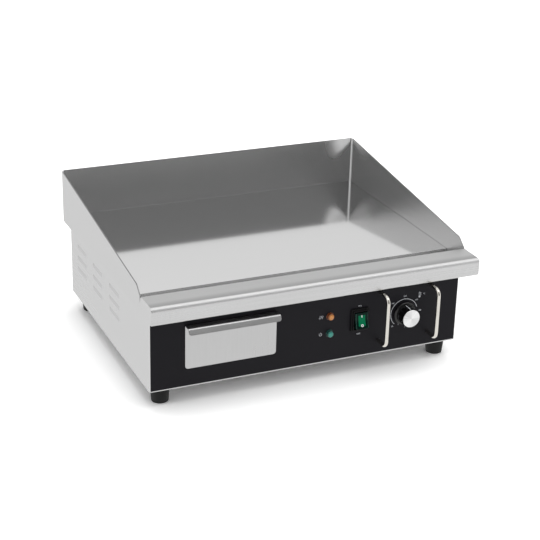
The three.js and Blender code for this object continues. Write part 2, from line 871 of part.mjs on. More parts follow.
// The heating elements' legs run front to back, evenly spaced across the casing
const elementZ = unitZ - seam - elementRadius;
const elementCount = 2;
const legPitch = (casingWidth - 2 * elementSideMargin) / (elementCount * elementLegs - 1);
const legX = (leg) => elementSideMargin + leg * legPitch;
const elementBack = casingDepth - elementRearMargin;
const barTop = elementZ - elementRadius - seam;
const barYs = [barFront, casingDepth - barRearMargin];
const nutTop = barTop - barThickness - seam;
const studBottom = nutTop - nutHeight - studTail;

// Weld studs between the outermost two legs at each side
function studPlaces() {
  const last = elementCount * elementLegs - 1;
  return [0.5, last - 0.5].flatMap((leg) => barYs.map((y) => [legX(leg), y]));
}

function heating() {
  const names = ["heating_element_left", "heating_element_right"];
  names.forEach((name, i) => {
    const at = (leg) => legX(i * elementLegs + leg);
    const corners = [
      [at(3), elementFront],
      [at(3), elementBack],
      [at(0), elementBack],
      [at(0), elementTurn],
      [at(1), elementTurn],
      [at(1), elementBack - elementInnerTurn],
      [at(2), elementBack - elementInnerTurn],
      [at(2), elementFront],
    ].map(([x, y]) => [x, y, elementZ]);
    add(name, rod(elementRadius, corners, legPitch / 2), { color: 0x5a5550, roughness: 0.5, metalness: 0.8 });
  });
  barYs.forEach((y, i) => {
    const bar = block(
      [legX(0) - barInset, y - barWidth / 2, barTop - barThickness],
      [legX(elementCount * elementLegs - 1) + barInset, y + barWidth / 2, barTop],
    );
    const holes = studPlaces()
      .filter((place) => place[1] === y)
      .map(([x]) => roundZ(studRadius + 2 * holeGap, x, y, barTop - barThickness - 1, barTop + 1, 12));
    add("clamp_bar_" + (i === 0 ? "front" : "rear"), cut(bar, ...holes), zinc);
  });
  studPlaces().forEach(([x, y], i) => {
    const nut = hexNut(roundZ, nutRadius, studRadius + 2 * holeGap, x, y, nutTop - nutHeight, nutTop);
    add(`clamp_nut_${i + 1}`, nut, zinc);
  });
}

// The tray under the elements hangs from the side panels' flanges, clear of the louvres
const shieldLeft = casingSheet + louvreDepth + shieldSide;
const shieldRight = casingWidth - shieldLeft;
const shieldBack = innerBack - shieldRear;
const shieldZ = casingTop - shieldDrop;

function insulation() {
  const flangeUnder = casingTop - casingSheet - seam;
  const shield = cut(
    block([shieldLeft, shieldFront, shieldZ], [shieldRight, shieldBack, flangeUnder]),
    block(
      [shieldLeft + shieldSheet, shieldFront + shieldSheet, shieldZ + shieldSheet],
      [shieldRight - shieldSheet, shieldBack - shieldSheet, casingTop],
    ),
    block([0, 0, shieldZ + shieldFrontHeight], [casingWidth, shieldFront + 2 * shieldSheet, casingTop]),
  );
  add("heat_shield", shield, zinc);
  const matGap = shieldSheet + seam;
  const mat = block(
    [shieldLeft + matGap, shieldFront + matGap, shieldZ + matGap],
    [shieldRight - matGap, shieldBack - matGap, shieldZ + matGap + matThickness],
  );
  add("insulation_mat", mat, { color: 0xe8e4da, roughness: 1, metalness: 0 });
}

function footPlaces() {
  return [footInset, casingWidth - footRightInset].flatMap((x) =>
    [footInset, casingDepth - footInset].map((y) => [x, y]));
}

function feet() {
  const names = ["front_left", "rear_left", "front_right", "rear_right"];
  const top = baseZ - seam;
  footPlaces().forEach(([x, y], i) => {
    const foot = turnedZ(
      [
        [footBore, footPocketDepth],
        [footPocketRadius, footPocketDepth],
        [footPocketRadius, 0],
        [footBottomRadius - 1, 0],
        [footBottomRadius, 1],
        [footTopRadius, top],
        [footBore, top],
        [footBore, footPocketDepth],
      ],
      x,
      y,
    );
    add("foot_" + names[i], foot, rubber);
    const headTop = footPocketDepth - seam;
    const screw = join(
      roundZ(footScrewHead, x, y, headTop - footScrewHeadHeight, headTop, 12),
      roundZ(screwRadius, x, y, headTop - 1, floorZ + footScrewTail, 8),
    );
    add("foot_screw_" + names[i], screw, zinc);
  });
}

const blockX = casingWidth - glandFromRight;
const blockBack = casingDepth - blockRearMargin;
const blockFront = blockBack - blockDepth;

function supply() {
  const z = baseZ + glandHeight;
  const outer = casingDepth + seam;
  const gland = cut(
    join(
      roundY(glandThread, blockX, z, innerBack - glandNutWidth - 2, outer + 1),
      roundY(glandHex, blockX, z, outer, outer + glandHexWidth, 6),
      turnedY(
        [
          [0, outer + glandHexWidth - 1],
          [glandDome, outer + glandHexWidth - 1],
          [glandDome, outer + glandReach - 5],
          [glandBore + 1.5, outer + glandReach],
          [0, outer + glandReach],
        ],
        blockX,
        z,
        24,
      ),
    ),
    roundY(glandBore, blockX, z, 0, outer + glandReach + 1),
  );
  add("cable_gland", gland, blackPlastic);
  const nut = hexNut(
    roundY,
    glandHex,
    glandThread + 2 * holeGap,
    blockX,
    z,
    innerBack - glandNutWidth,
    innerBack,
  );
  add("cable_gland_nut", nut, blackPlastic);

  const low = floorZ + seam;
  const terminal = join(
    block([blockX - blockWidth / 2, blockFront, low], [blockX + blockWidth / 2, blockBack, low + blockHeight - blockStep]),
    block(
      [blockX - blockWidth / 2, blockFront + blockStep, low],
      [blockX + blockWidth / 2, blockBack - blockStep, low + blockHeight],
    ),
  );
  add("terminal_block", terminal, { color: 0xe9e6dc, roughness: 0.5, metalness: 0 });

  const earthX = blockX - earthFromBlock;
  const stud = join(
    roundZ(earthRadius, earthX, blockFront, low, low + earthLength, 12),
    roundZ(earthNut, earthX, blockFront, low, low + earthNutHeight, 6),
  );
  add("earth_stud", stud, { color: 0xb08d3c, roughness: 0.35, metalness: 1 });
}

// Everything that runs between the controls, the elements and the supply
function wiring() {
  const midX = (legX(elementLegs - 1) + legX(elementLegs)) / 2;
  const bulbZ = unitZ - seam - bulbRadius;
  const thermostatBack = innerFront + thermostatDepth;
  add("sensor_bulb", roundY(bulbRadius, midX, bulbZ, bulbFront, bulbFront + bulbLength, 12), zinc);
  const capillaryY = (thermostatBack + shieldFront) / 2;
  const capillary = [
    [midX, bulbFront - seam, bulbZ],
    [midX, capillaryY, bulbZ],
    [knobX - thermostatWidth / 4, capillaryY, bulbZ],
    [knobX - thermostatWidth / 4, capillaryY, knobZ + thermostatHeight / 4],
    [knobX - thermostatWidth / 4, thermostatBack + seam, knobZ + thermostatHeight / 4],
  ];
  add("capillary_tube", rod(capillaryRadius, capillary, capillaryBend), { color: 0xb87333, roughness: 0.3, metalness: 1 });

  const low = floorZ + wireRise;
  const live = { color: 0x6b3a1e, roughness: 0.6, metalness: 0 };
  const neutral = { color: 0x2a5fb0, roughness: 0.6, metalness: 0 };
  const tabBack = switchBodyDepth + switchTabLength + seam + wireRadius;
  add(
    "wire_supply_to_switch",
    rod(
      wireRadius,
      [
        [blockX - wireLane, blockFront - seam, low],
        [blockX - wireLane, shieldFront - wireLane, low],
        [switchX, shieldFront - wireLane, low],
        [switchX, tabBack, switchZ - switchTabPitch],
      ],
      wireBend,
    ),
    live,
  );
  add(
    "wire_switch_to_thermostat",
    rod(
      wireRadius,
      [
        [switchX, tabBack, switchZ + switchTabPitch],
        [switchX, thermostatBack + 2 * wireLane, knobZ - thermostatHeight / 4],
        [knobX, thermostatBack + 2 * wireLane, knobZ - thermostatHeight / 4],
        [knobX, thermostatBack + seam, knobZ - thermostatHeight / 4],
      ],
      wireBend,
    ),
    live,
  );
  const terminalX = legX(2 * elementLegs - 1);
  const terminalGap = elementFront - seam;
  add(
    "wire_thermostat_to_element",
    rod(
      wireRadius,
      [
        [knobX + thermostatWidth / 4, thermostatBack + seam, knobZ],
        [knobX + thermostatWidth / 4, thermostatBack + 3 * wireLane, knobZ],
        [terminalX, thermostatBack + 3 * wireLane, elementZ],
        [terminalX, terminalGap, elementZ],
      ],
      wireBend,
    ),
    live,
  );
  add(
    "wire_supply_to_element",
    rod(
      wireRadius,
      [
        [blockX + wireLane, blockFront - seam, low],
        [blockX + wireLane, shieldFront - 2 * wireLane, low],
        [terminalX + 2 * wireLane, shieldFront - 2 * wireLane, low],
        [legX(2 * elementLegs - 2), terminalGap - wireLane, elementZ],
        [legX(2 * elementLegs - 2), terminalGap, elementZ],
      ],
      wireBend,
    ),
    neutral,
  );
}

casing();
controlPanel();
drawer();
topUnit();
lamp("heat", heatLampHeight, 0xe07820);
lamp("power", powerLampHeight, 0x128a68);
rockerSwitch();
thermostat();
guards();
heating();
insulation();
feet();
supply();
wiring();

const frontY = -guardReach - guardRodRadius;
assembly.position.set(-topWidth / 2, -(frontY + rearY) / 2, 0);

export default griddle;
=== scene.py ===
import math
import bmesh
import bpy
from mathutils import Matrix, Vector


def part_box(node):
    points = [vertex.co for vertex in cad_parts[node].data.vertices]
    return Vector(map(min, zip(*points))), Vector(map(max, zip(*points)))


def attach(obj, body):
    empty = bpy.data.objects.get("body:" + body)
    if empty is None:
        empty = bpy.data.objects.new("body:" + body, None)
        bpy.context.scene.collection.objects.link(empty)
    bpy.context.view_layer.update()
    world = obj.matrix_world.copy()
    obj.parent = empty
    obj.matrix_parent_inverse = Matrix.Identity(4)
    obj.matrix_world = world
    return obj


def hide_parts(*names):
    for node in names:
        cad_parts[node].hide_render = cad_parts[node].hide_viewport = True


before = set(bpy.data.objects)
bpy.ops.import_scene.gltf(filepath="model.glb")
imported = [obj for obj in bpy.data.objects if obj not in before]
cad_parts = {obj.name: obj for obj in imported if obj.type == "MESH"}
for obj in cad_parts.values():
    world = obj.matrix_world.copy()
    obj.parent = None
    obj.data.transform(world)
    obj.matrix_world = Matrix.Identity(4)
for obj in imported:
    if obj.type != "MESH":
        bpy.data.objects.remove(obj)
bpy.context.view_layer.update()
scene = bpy.context.scene


# Lengths are in millimetres and angles in degrees unless a comment says otherwise. finishPiece scales a
# drawn shape to Blender's metres.

def span(node):
    low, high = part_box(node)
    return low * 1000, high * 1000


def tint(hexText):
    # sRGB hex to linear
    channels = [int(hexText[i:i + 2], 16) / 255 for i in (1, 3, 5)]
    return tuple(c / 12.92 if c <= 0.04045 else ((c + 0.055) / 1.055) ** 2.4 for c in channels) + (1.0,)


def addNode(tree, kind, inputs=None, **settings):
    made = tree.nodes.new("ShaderNode" + kind)
    for key, value in settings.items():
        setattr(made, key, value)
    for key, value in (inputs or {}).items():
        if isinstance(value, bpy.types.Node):
            value = value.outputs[0]
        if isinstance(value, bpy.types.NodeSocket):
            tree.links.new(value, made.inputs[key])
        else:
            made.inputs[key].default_value = value
    return made


def blankMaterial(name):
    made = bpy.data.materials.new(name)
    made.use_nodes = True
    made.node_tree.nodes.clear()
    return made, made.node_tree


def placed(name, data):
    made = bpy.data.objects.new(name, data)
    scene.collection.objects.link(made)
    return made


def meshObject(name, bm, finishes):
    mesh = bpy.data.meshes.new(name)
    bm.to_mesh(mesh)
    bm.free()
    for each in finishes:
        mesh.materials.append(each)
    return placed(name, mesh)


def bake(piece):
    # the modifiers become plain mesh
    shaped = bpy.data.meshes.new_from_object(piece.evaluated_get(bpy.context.evaluated_depsgraph_get()))
    piece.modifiers.clear()
    piece.data = shaped
    shaped.name = piece.name


def finishPiece(name, bm, finish, body, replaced=(), wall=0, rim=0, rimSteps=2, smooth=32,
                rimFinish=0):
    # wall is the thickness of a sheet drawn as a surface, rim the rounding of all its sharp edges
    bmesh.ops.scale(bm, vec=(0.001, 0.001, 0.001), verts=bm.verts)
    piece = meshObject(name, bm, finish if isinstance(finish, list) else [finish])
    if wall:
        skin = piece.modifiers.new("wall", "SOLIDIFY")
        skin.thickness = wall / 1000
        skin.offset = -1
        skin.use_even_offset = True
        skin.material_offset_rim = rimFinish
    if rim:
        edge = piece.modifiers.new("rim", "BEVEL")
        edge.width = rim / 1000
        edge.segments = rimSteps
        edge.limit_method = "ANGLE"
        edge.angle_limit = math.radians(35)
    if wall or rim:
        bake(piece)
    piece.data.shade_smooth()
    piece.data.set_sharp_from_angle(angle=math.radians(smooth))
    flat = piece.modifiers.new("flat", "WEIGHTED_NORMAL")  # large faces stay flat up to their rounded rims
    flat.weight = 60
    flat.keep_sharp = True
    bake(piece)
    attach(piece, body)
    if replaced:
        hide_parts(*replaced)


def shift(bm, step, verts=None):
    bmesh.ops.translate(bm, vec=step, verts=verts or bm.verts)


def turn(bm, angle, axis, verts=None):
    # about an axis through the origin
    matrix = Matrix.Rotation(math.radians(angle), 3, axis)
    bmesh.ops.rotate(bm, cent=(0, 0, 0), matrix=matrix, verts=verts or bm.verts)


def boxed(bm, low, high):
    # a block between two corners
    made = bmesh.ops.create_cube(bm, size=1)["verts"]
    bmesh.ops.scale(bm, vec=Vector(high) - Vector(low), verts=made)
    shift(bm, (Vector(low) + Vector(high)) / 2, made)


def rectangle(bm, width, height, place, upright=True):
    # lies level, or stands facing the front, and is returned as its corners
    made = bmesh.ops.create_grid(bm, x_segments=1, y_segments=1, size=0.5)["verts"]
    bmesh.ops.scale(bm, vec=(width, height, 1), verts=made)
    if upright:
        turn(bm, 90, "X", made)
    shift(bm, place, made)
    return made


def only(kind, geom):
    return [g for g in geom if isinstance(g, kind)]


def extruded(bm, geom, step):
    # faces or edges drawn out by a step, returned as all that is new
    if isinstance(geom[0], bmesh.types.BMFace):
        grown = bmesh.ops.extrude_face_region(bm, geom=geom)["geom"]
    else:
        grown = bmesh.ops.extrude_edge_only(bm, edges=geom)["geom"]
    shift(bm, step, only(bmesh.types.BMVert, grown))
    return grown


def cut(bm, place, normal, clear=False):
    # splits what a plane crosses; clear also drops what lies beyond it
    bmesh.ops.bisect_plane(bm, geom=bm.verts[:] + bm.edges[:] + bm.faces[:], dist=0.001, plane_co=place,
                           plane_no=normal, clear_outer=clear)


def edgesWhere(bm, test):
    return [e for e in bm.edges if all(test(v.co) for v in e.verts)]


def facesWhere(bm, test):
    return [f for f in bm.faces if test(f.calc_center_median(), f.normal)]


def painted(bm, index, test):
    # another of the piece's materials
    for f in facesWhere(bm, test):
        f.material_index = index


def rounded(bm, geom, radius, steps, affect="EDGES"):
    bmesh.ops.bevel(bm, geom=geom, offset=radius, segments=steps, profile=0.5, affect=affect, material=-1)


def closeUp(bm):
    bmesh.ops.remove_doubles(bm, verts=bm.verts, dist=0.001)
    bmesh.ops.recalc_face_normals(bm, faces=bm.faces)


def turned(bm, profile, centre, axis, steps):
    # a profile of (radius, place along the axis) pairs, turned all the way round
    along = Vector(axis)
    side = Vector((0, 0, 1)) if axis[0] else Vector((1, 0, 0))
    made = [bm.verts.new(Vector(centre) + side * r + along * a) for r, a in profile]
    line = [bm.edges.new(pair) for pair in zip(made, made[1:])]
    bmesh.ops.spin(bm, geom=made + line, cent=centre, axis=axis, dvec=(0, 0, 0), angle=2 * math.pi,
                   steps=steps, use_merge=True)
    closeUp(bm)


def near(a, b, gap=0.02):
    return abs(a - b) < gap


# camera, light and floor; sizes and places are in metres here, but for the camera's

def camera():
    setting = {"azimuth": -24.15, "elevation": 23.02, "roll": 1.52, "distance": 2342.5, "lens": 94.69,
               "target": (4.4, -9.5, 104.6)}
    a, e, roll = (math.radians(setting[k]) for k in ("azimuth", "elevation", "roll"))
    back = Vector((math.sin(a) * math.cos(e), -math.cos(a) * math.cos(e), math.sin(e)))
    right = (-back).cross(Vector((0, 0, 1))).normalized()
    up = right.cross(-back)
    turnedRight = right * math.cos(roll) + up * math.sin(roll)
    turnedUp = up * math.cos(roll) - right * math.sin(roll)
    place = (Vector(setting["target"]) + back * setting["distance"]) / 1000
    made = placed("camera", bpy.data.cameras.new("camera"))
    made.data.lens = setting["lens"]
    made.data.clip_end = 50
    facing = Matrix((turnedRight, turnedUp, back)).transposed().to_4x4()
    made.matrix_world = Matrix.Translation(place) @ facing
    scene.camera = made
    scene.view_settings.view_transform = "Standard"


def studioAir():
    # white to the camera, to gloss and to glass, a little less as light on the object
    setting = {"lit": 0.72, "seen": 1.0}
    world = bpy.data.worlds.new("studioAir")
    world.use_nodes = True
    scene.world = world
    tree = world.node_tree
    tree.nodes.clear()
    ray = addNode(tree, "LightPath").outputs
    either = addNode(tree, "Math", {0: ray["Is Camera Ray"], 1: ray["Is Glossy Ray"]}, operation="MAXIMUM")
    either = addNode(tree, "Math", {0: either, 1: ray["Is Transmission Ray"]}, operation="MAXIMUM")
    strength = addNode(tree, "MapRange", {"Value": either, "To Min": setting["lit"],
                                          "To Max": setting["seen"]})
    air = addNode(tree, "Background", {"Color": (1, 1, 1, 1), "Strength": strength})
    addNode(tree, "OutputWorld", {"Surface": air})


def overheadLamp():
    setting = {"power": 46, "size": 3.0, "place": (0.55, 0.3, 2.4)}  # power in watts
    made = placed("overheadLamp", bpy.data.lights.new("overheadLamp", "AREA"))
    made.data.shape = "SQUARE"
    made.data.size = setting["size"]
    made.data.energy = setting["power"]
    made.location = setting["place"]
    made.rotation_euler = (-made.location).to_track_quat("-Z", "Y").to_euler()
    made.visible_glossy = False


def paper():
    # matt sweep paper, brighter to the camera, and lit evenly where the steel mirrors it
    setting = {"shade": 0.86, "gain": 1.35, "mirrored": 1.0}
    made, tree = blankMaterial("whitePaper")
    ray = addNode(tree, "LightPath").outputs
    plain, bright = ((setting[k],) * 3 + (1,) for k in ("shade", "gain"))
    shade = addNode(tree, "Mix", {0: ray["Is Camera Ray"], 6: plain, 7: bright}, data_type="RGBA")
    matt = addNode(tree, "BsdfDiffuse", {"Color": shade.outputs[2]})
    lit = addNode(tree, "Emission", {"Strength": setting["mirrored"]})
    direct = addNode(tree, "Math", {0: ray["Diffuse Depth"], 1: 0.5}, operation="LESS_THAN")
    mirrored = addNode(tree, "Math", {0: ray["Is Glossy Ray"], 1: direct}, operation="MULTIPLY")
    both = addNode(tree, "MixShader", {0: mirrored, 1: matt, 2: lit})
    addNode(tree, "OutputMaterial", {"Surface": both})
    return made


def flagCloth():
    # grey cloth, lighter towards its left end and its top
    setting = {"left": "#868686", "right": "#7c7c7c", "top": "#b4b4b4", "across": (-1.6, 0.8),
               "height": (1.5, 3.2)}
    made, tree = blankMaterial("flagCloth")
    place = addNode(tree, "TexCoord")
    parts = addNode(tree, "SeparateXYZ", {"Vector": place.outputs["Object"]})
    across, height = (addNode(tree, "MapRange", {"Value": parts.outputs[axis], "From Min": setting[key][0],
                                                 "From Max": setting[key][1]})
                      for axis, key in (("X", "across"), ("Z", "height")))
    shade = addNode(tree, "Mix", {0: across, 6: tint(setting["left"]), 7: tint(setting["right"])},
                    data_type="RGBA")
    shade = addNode(tree, "Mix", {0: height, 6: shade.outputs[2], 7: tint(setting["top"])}, data_type="RGBA")
    glow = addNode(tree, "Emission", {"Color": shade.outputs[2], "Strength": 1.0})
    addNode(tree, "OutputMaterial", {"Surface": glow})
    return made


def brightCard():
    setting = {"glow": 1.9}
    made, tree = blankMaterial("brightCard")
    glow = addNode(tree, "Emission", {"Strength": setting["glow"]})
    addNode(tree, "OutputMaterial", {"Surface": glow})
    return made


def reflector(name, finish, size, place, upright):
    # seen by the steel alone
    bm = bmesh.new()
    rectangle(bm, *size, place, upright)
    made = meshObject(name, bm, [finish])
    made.visible_camera = made.visible_diffuse = made.visible_shadow = made.visible_transmission = False
    return made


def studio():
    setting = {"floor": (12, 12), "flag": (6.0, 4.6), "flagPlace": (-0.2, -3.0, 2.32), "card": (5.0, 1.3),
               "cardPlace": (1.0, -1.25, 2.6)}
    camera()
    studioAir()
    overheadLamp()
    bm = bmesh.new()
    rectangle(bm, *setting["floor"], (0, 0, 0), False)
    floor = meshObject("floor", bm, [paper()])
    flag = reflector("flag", flagCloth(), setting["flag"], setting["flagPlace"], True)
    card = reflector("card", brightCard(), setting["card"], setting["cardPlace"], False)
    print("studio ready")


studio()


def surface(name, light, dark, grain, metallic, rough, bump=0.0, stretch=(1, 1, 1), drift=0.0, fade=None,
            **sockets):
    # noise in Object coordinates moves the colour, the roughness and the height; grain is its size, drift
    # that of a slower change over the sheet, and fade a painted shade along one edge: the shade, and the y in
    # metres up to which it is full and at which it ends
    made, tree = blankMaterial(name)
    coords = addNode(tree, "TexCoord").outputs["Object"]
    scale = tuple(1000 / (grain * each) for each in stretch)
    mapping = addNode(tree, "Mapping", {"Vector": coords, "Scale": scale})
    noise = addNode(tree, "TexNoise", {"Vector": mapping, "Scale": 1.0, "Detail": 3.0, "Roughness": 0.6})
    value = addNode(tree, "MapRange", {"Value": noise, "From Min": 0.3, "From Max": 0.7})
    level = value
    if drift:
        slow = addNode(tree, "TexNoise", {"Vector": coords, "Scale": 1000 / drift, "Detail": 1.0})
        spread = addNode(tree, "MapRange", {"Value": slow, "From Min": 0.3, "From Max": 0.7})
        level = addNode(tree, "Mix", {0: 0.5, 2: value, 3: spread}, data_type="FLOAT")
    colour = addNode(tree, "Mix", {0: level, 6: tint(dark), 7: tint(light)}, data_type="RGBA")
    if fade:
        shade, full, end = fade
        parts = addNode(tree, "SeparateXYZ", {"Vector": coords})
        reach = addNode(tree, "MapRange", {"Value": parts.outputs["Y"], "From Min": full, "From Max": end},
                        interpolation_type="SMOOTHSTEP")
        colour = addNode(tree, "Mix", {0: reach, 6: tint(shade), 7: colour.outputs[2]}, data_type="RGBA")
    roughness = addNode(tree, "MapRange", {"Value": level, "To Min": rough[0], "To Max": rough[1]})
    shader = addNode(tree, "BsdfPrincipled", {"Base Color": colour.outputs[2], "Metallic": metallic,
                                              "Roughness": roughness, **sockets})
    if bump:
        relief = addNode(tree, "Bump", {"Height": value, "Strength": 1.0, "Distance": bump / 1000})
        tree.links.new(relief.outputs[0], shader.inputs["Normal"])
    addNode(tree, "OutputMaterial", {"Surface": shader})
    return made


def guardFinish():
    # satin sheet of the splash guard, dished on the rear wall beside the right-hand weld, where a patch is
    # painted white as a highlight and made rougher; reach, edge and wall are in metres, and wall is how far
    # before the guard's rear face the patch fades in
    setting = {"light": "#d8d8d8", "dark": "#d4d4d4", "rough": (0.24, 0.26), "grain": 3.0, "stroke": 70,
               "highlightWhite": "#ffffff", "highlightRough": 0.8, "reach": 0.064, "edge": 0.002, "blur": 0.35,
               "strength": 0.85, "wall": (0.006, 0.003)}
    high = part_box("splash_guard")[1]
    made, tree = blankMaterial("satinSteel")
    coords = addNode(tree, "TexCoord").outputs["Object"]
    fine = 1000 / setting["grain"]
    long = fine / setting["stroke"]
    mapping = addNode(tree, "Mapping", {"Vector": coords, "Scale": (long, long, fine)})
    strokes = addNode(tree, "TexNoise", {"Vector": mapping, "Scale": 1.0, "Detail": 3.0})
    colour = addNode(tree, "Mix", {0: strokes, 6: tint(setting["dark"]), 7: tint(setting["light"])},
                     data_type="RGBA")
    rough = addNode(tree, "MapRange", {"Value": strokes, "To Min": setting["rough"][0],
                                       "To Max": setting["rough"][1]})

    # the patch of painted highlight lies above a slanting line that starts at the top corner, and fades away
    # from there
    parts = addNode(tree, "SeparateXYZ", {"Vector": coords}).outputs
    across = addNode(tree, "Math", {0: high.x, 1: parts["X"]}, operation="SUBTRACT")
    below = addNode(tree, "Math", {0: high.z, 1: parts["Z"]}, operation="SUBTRACT")
    past = addNode(tree, "Math", {0: across, 1: below}, operation="SUBTRACT")
    soft = addNode(tree, "Math", {0: below, 1: setting["blur"], 2: setting["edge"]}, operation="MULTIPLY_ADD")
    slant = addNode(tree, "Math", {0: past, 1: soft}, operation="DIVIDE")
    inside = addNode(tree, "MapRange", {"Value": slant, "From Min": -1.0, "From Max": 1.0},
                     interpolation_type="SMOOTHSTEP")
    away = addNode(tree, "VectorMath", {0: coords, 1: tuple(high)}, operation="DISTANCE")
    faded = addNode(tree, "MapRange", {"Value": away.outputs["Value"], "From Max": setting["reach"],
                                       "To Min": setting["strength"], "To Max": 0.0},
                    interpolation_type="SMOOTHSTEP")
    start, full = (high.y - depth for depth in setting["wall"])
    rear = addNode(tree, "MapRange", {"Value": parts["Y"], "From Min": start, "From Max": full})
    amount = addNode(tree, "Math", {0: inside, 1: faded}, operation="MULTIPLY")
    amount = addNode(tree, "Math", {0: amount, 1: rear}, operation="MULTIPLY")
    colour = addNode(tree, "Mix", {0: amount, 6: colour.outputs[2], 7: tint(setting["highlightWhite"])},
                     data_type="RGBA")
    rough = addNode(tree, "Mix", {0: amount, 2: rough, 3: setting["highlightRough"]}, data_type="FLOAT")

    # dished there, so that its normal leans upwards; strokes run level, so the gloss spreads up and down
    shape = addNode(tree, "NewGeometry")
    lift = addNode(tree, "CombineXYZ", {"Z": amount})
    tilted = addNode(tree, "VectorMath", {0: shape.outputs["Normal"], 1: lift}, operation="ADD")
    normal = addNode(tree, "VectorMath", {0: tilted}, operation="NORMALIZE")
    upright = addNode(tree, "CombineXYZ", {"Z": 1.0})
    shader = addNode(tree, "BsdfPrincipled", {
        "Base Color": colour.outputs[2], "Roughness": rough, "Metallic": 1.0,
        "Specular Tint": tint("#e6e6e6"), "Anisotropic": 0.8, "Tangent": upright, "Normal": normal})
    addNode(tree, "OutputMaterial", {"Surface": shader})
    return made


ledgeLow, ledgeHigh = span("front_ledge")
panelFace = span("control_panel")[0].y
noseShadeFade = [(ledgeLow.y + y) / 1000 for y in (7, 24)]  # where the strip beside the nose fades, in metres

# stainless sheet brushed along x: long soft strokes, drawn 3 mm wide so that they show
ledgeSteel = surface("brushedSteelAlongX", "#d5d5d5", "#cacaca", 3.0, 1.0, (0.22, 0.3), 0.003, (70, 1, 1),
                     drift=260)
# the top of the ledge, painted darker than its front as shade, and darker still beside the nose as a painted
# reflection
ledgeTopSteel = surface("shadedTopSteelAlongX", "#bbbbbb", "#afafaf", 3.0, 1.0, (0.26, 0.36), 0.004, (70, 1, 1),
                        drift=260, fade=("#9c9c9c", *noseShadeFade))
# its nose, where the fold is rubbed down by hand: a broad soft gloss, and painted a little lighter as a
# highlight
foldSteel = surface("rubbedFoldLighterHighlight", "#e0e0e0", "#d8d8d8", 3.0, 1.0, (0.5, 0.56), 0.0, (70, 1, 1))
# the same sheet brushed along y, as the cheeks and casing sides are
sideSteel = surface("brushedSteelAlongY", "#dadada", "#d7d7d7", 3.0, 1.0, (0.26, 0.28), 0.0, (1, 70, 1),
                    drift=320, **{"Specular Tint": tint("#e6e6e6")})
# the same in the louvres, painted darker as shade, and a little rougher
louvreShadeSteel = surface("louvreShadeSteel", "#c6c6c6", "#c0c0c0", 3.0, 1.0, (0.32, 0.38), 0.0, (1, 70, 1))
# brushed upright, as the drawer's front is
drawerSteel = surface("brushedSteelUpright", "#cacaca", "#c3c3c3", 2.0, 1.0, (0.26, 0.34), 0.004, (1, 1, 30),
                      drift=60)
# ground and polished cooking plate: clear reflections with a soft edge
plateSteel = surface("groundPlateSteel", "#dcdcdc", "#dadada", 2.5, 1.0, (0.08, 0.09), 0.0, (60, 1, 1),
                     drift=400, **{"Specular Tint": tint("#dedede")})
# the two upright welded corners of the splash guard, smoother, and painted brighter as a highlight along the
# bend
weldSteel = surface("weldCornerHighlight", "#f6f6f6", "#ececec", 2.0, 1.0, (0.14, 0.2), 0.0, (1, 1, 40))
# edges of sheet, darker than its faces
cutSteel = surface("darkSheetEdge", "#949494", "#848484", 2.0, 1.0, (0.4, 0.5))
# hidden sheet and hardware: zinc plated, slightly cloudy
zincSteel = surface("zincPlatedSteel", "#b9bcbf", "#9b9ea0", 7.0, 1.0, (0.35, 0.5), 0.01)
# bright drawn rod, barrel polished
rodSteel = surface("polishedRod", "#e6e3dc", "#d4d0c8", 2.0, 1.0, (0.1, 0.16), 0.002, (1, 1, 20))
# screen-printed polyester film on the control panel: matt black with a fine orange peel
panelFilm = surface("blackPanelFilm", "#1c1b20", "#17161a", 1.6, 0.0, (0.42, 0.5), 0.008, drift=220,
                    **{"Specular IOR Level": 0.14})
# moulded phenolic of the knob: deep gloss
knobPhenolic = surface("glossPhenolic", "#0d0d0e", "#080809", 6.0, 0.0, (0.12, 0.2))
# moulded polyamide of switch and lamps: black, half matt
blackNylon = surface("blackNylon", "#101011", "#0a0a0b", 1.2, 0.0, (0.32, 0.42), 0.004,
                     **{"Specular IOR Level": 0.16})
# moulded rubber feet: dull black with a slight bloom
footRubber = surface("footRubber", "#1b1b1b", "#111111", 3.0, 0.0, (0.6, 0.75), 0.02,
                     **{"Specular IOR Level": 0.3})
# sheathed element tube: grey-brown oxide from the annealing furnace
elementSheath = surface("oxidisedSheath", "#6b645c", "#453f39", 9.0, 0.8, (0.45, 0.6), 0.02)
# loose wool held in a blanket
mineralWool = surface("mineralWool", "#ebe6da", "#c9c1ae", 2.5, 0.0, (0.95, 1.0), 0.6)
# white steatite block, fired with a clear glaze
ceramic = surface("glazedCeramic", "#ece8de", "#e0dbcf", 8.0, 0.0, (0.25, 0.35), 0.01)
# stud turned on a lathe, and tube drawn through a die: both bright when new
brass = surface("turnedBrass", "#c8a55a", "#ab8740", 2.0, 1.0, (0.25, 0.35), 0.004)
copper = surface("drawnCopper", "#c98a5e", "#a96a43", 3.0, 1.0, (0.28, 0.4), 0.004)
# extruded silicone of the wires: soft, half matt
liveSleeve = surface("brownSilicone", "#74442a", "#5c331d", 2.0, 0.0, (0.5, 0.6), 0.02)
neutralSleeve = surface("blueSilicone", "#2f63ad", "#254f8d", 2.0, 0.0, (0.5, 0.6), 0.02)
# screen-printing ink, barely raised, slightly patchy
whiteInk = surface("whiteInk", "#dfe2e6", "#c9ccd1", 0.8, 0.0, (0.5, 0.6), 0.002)
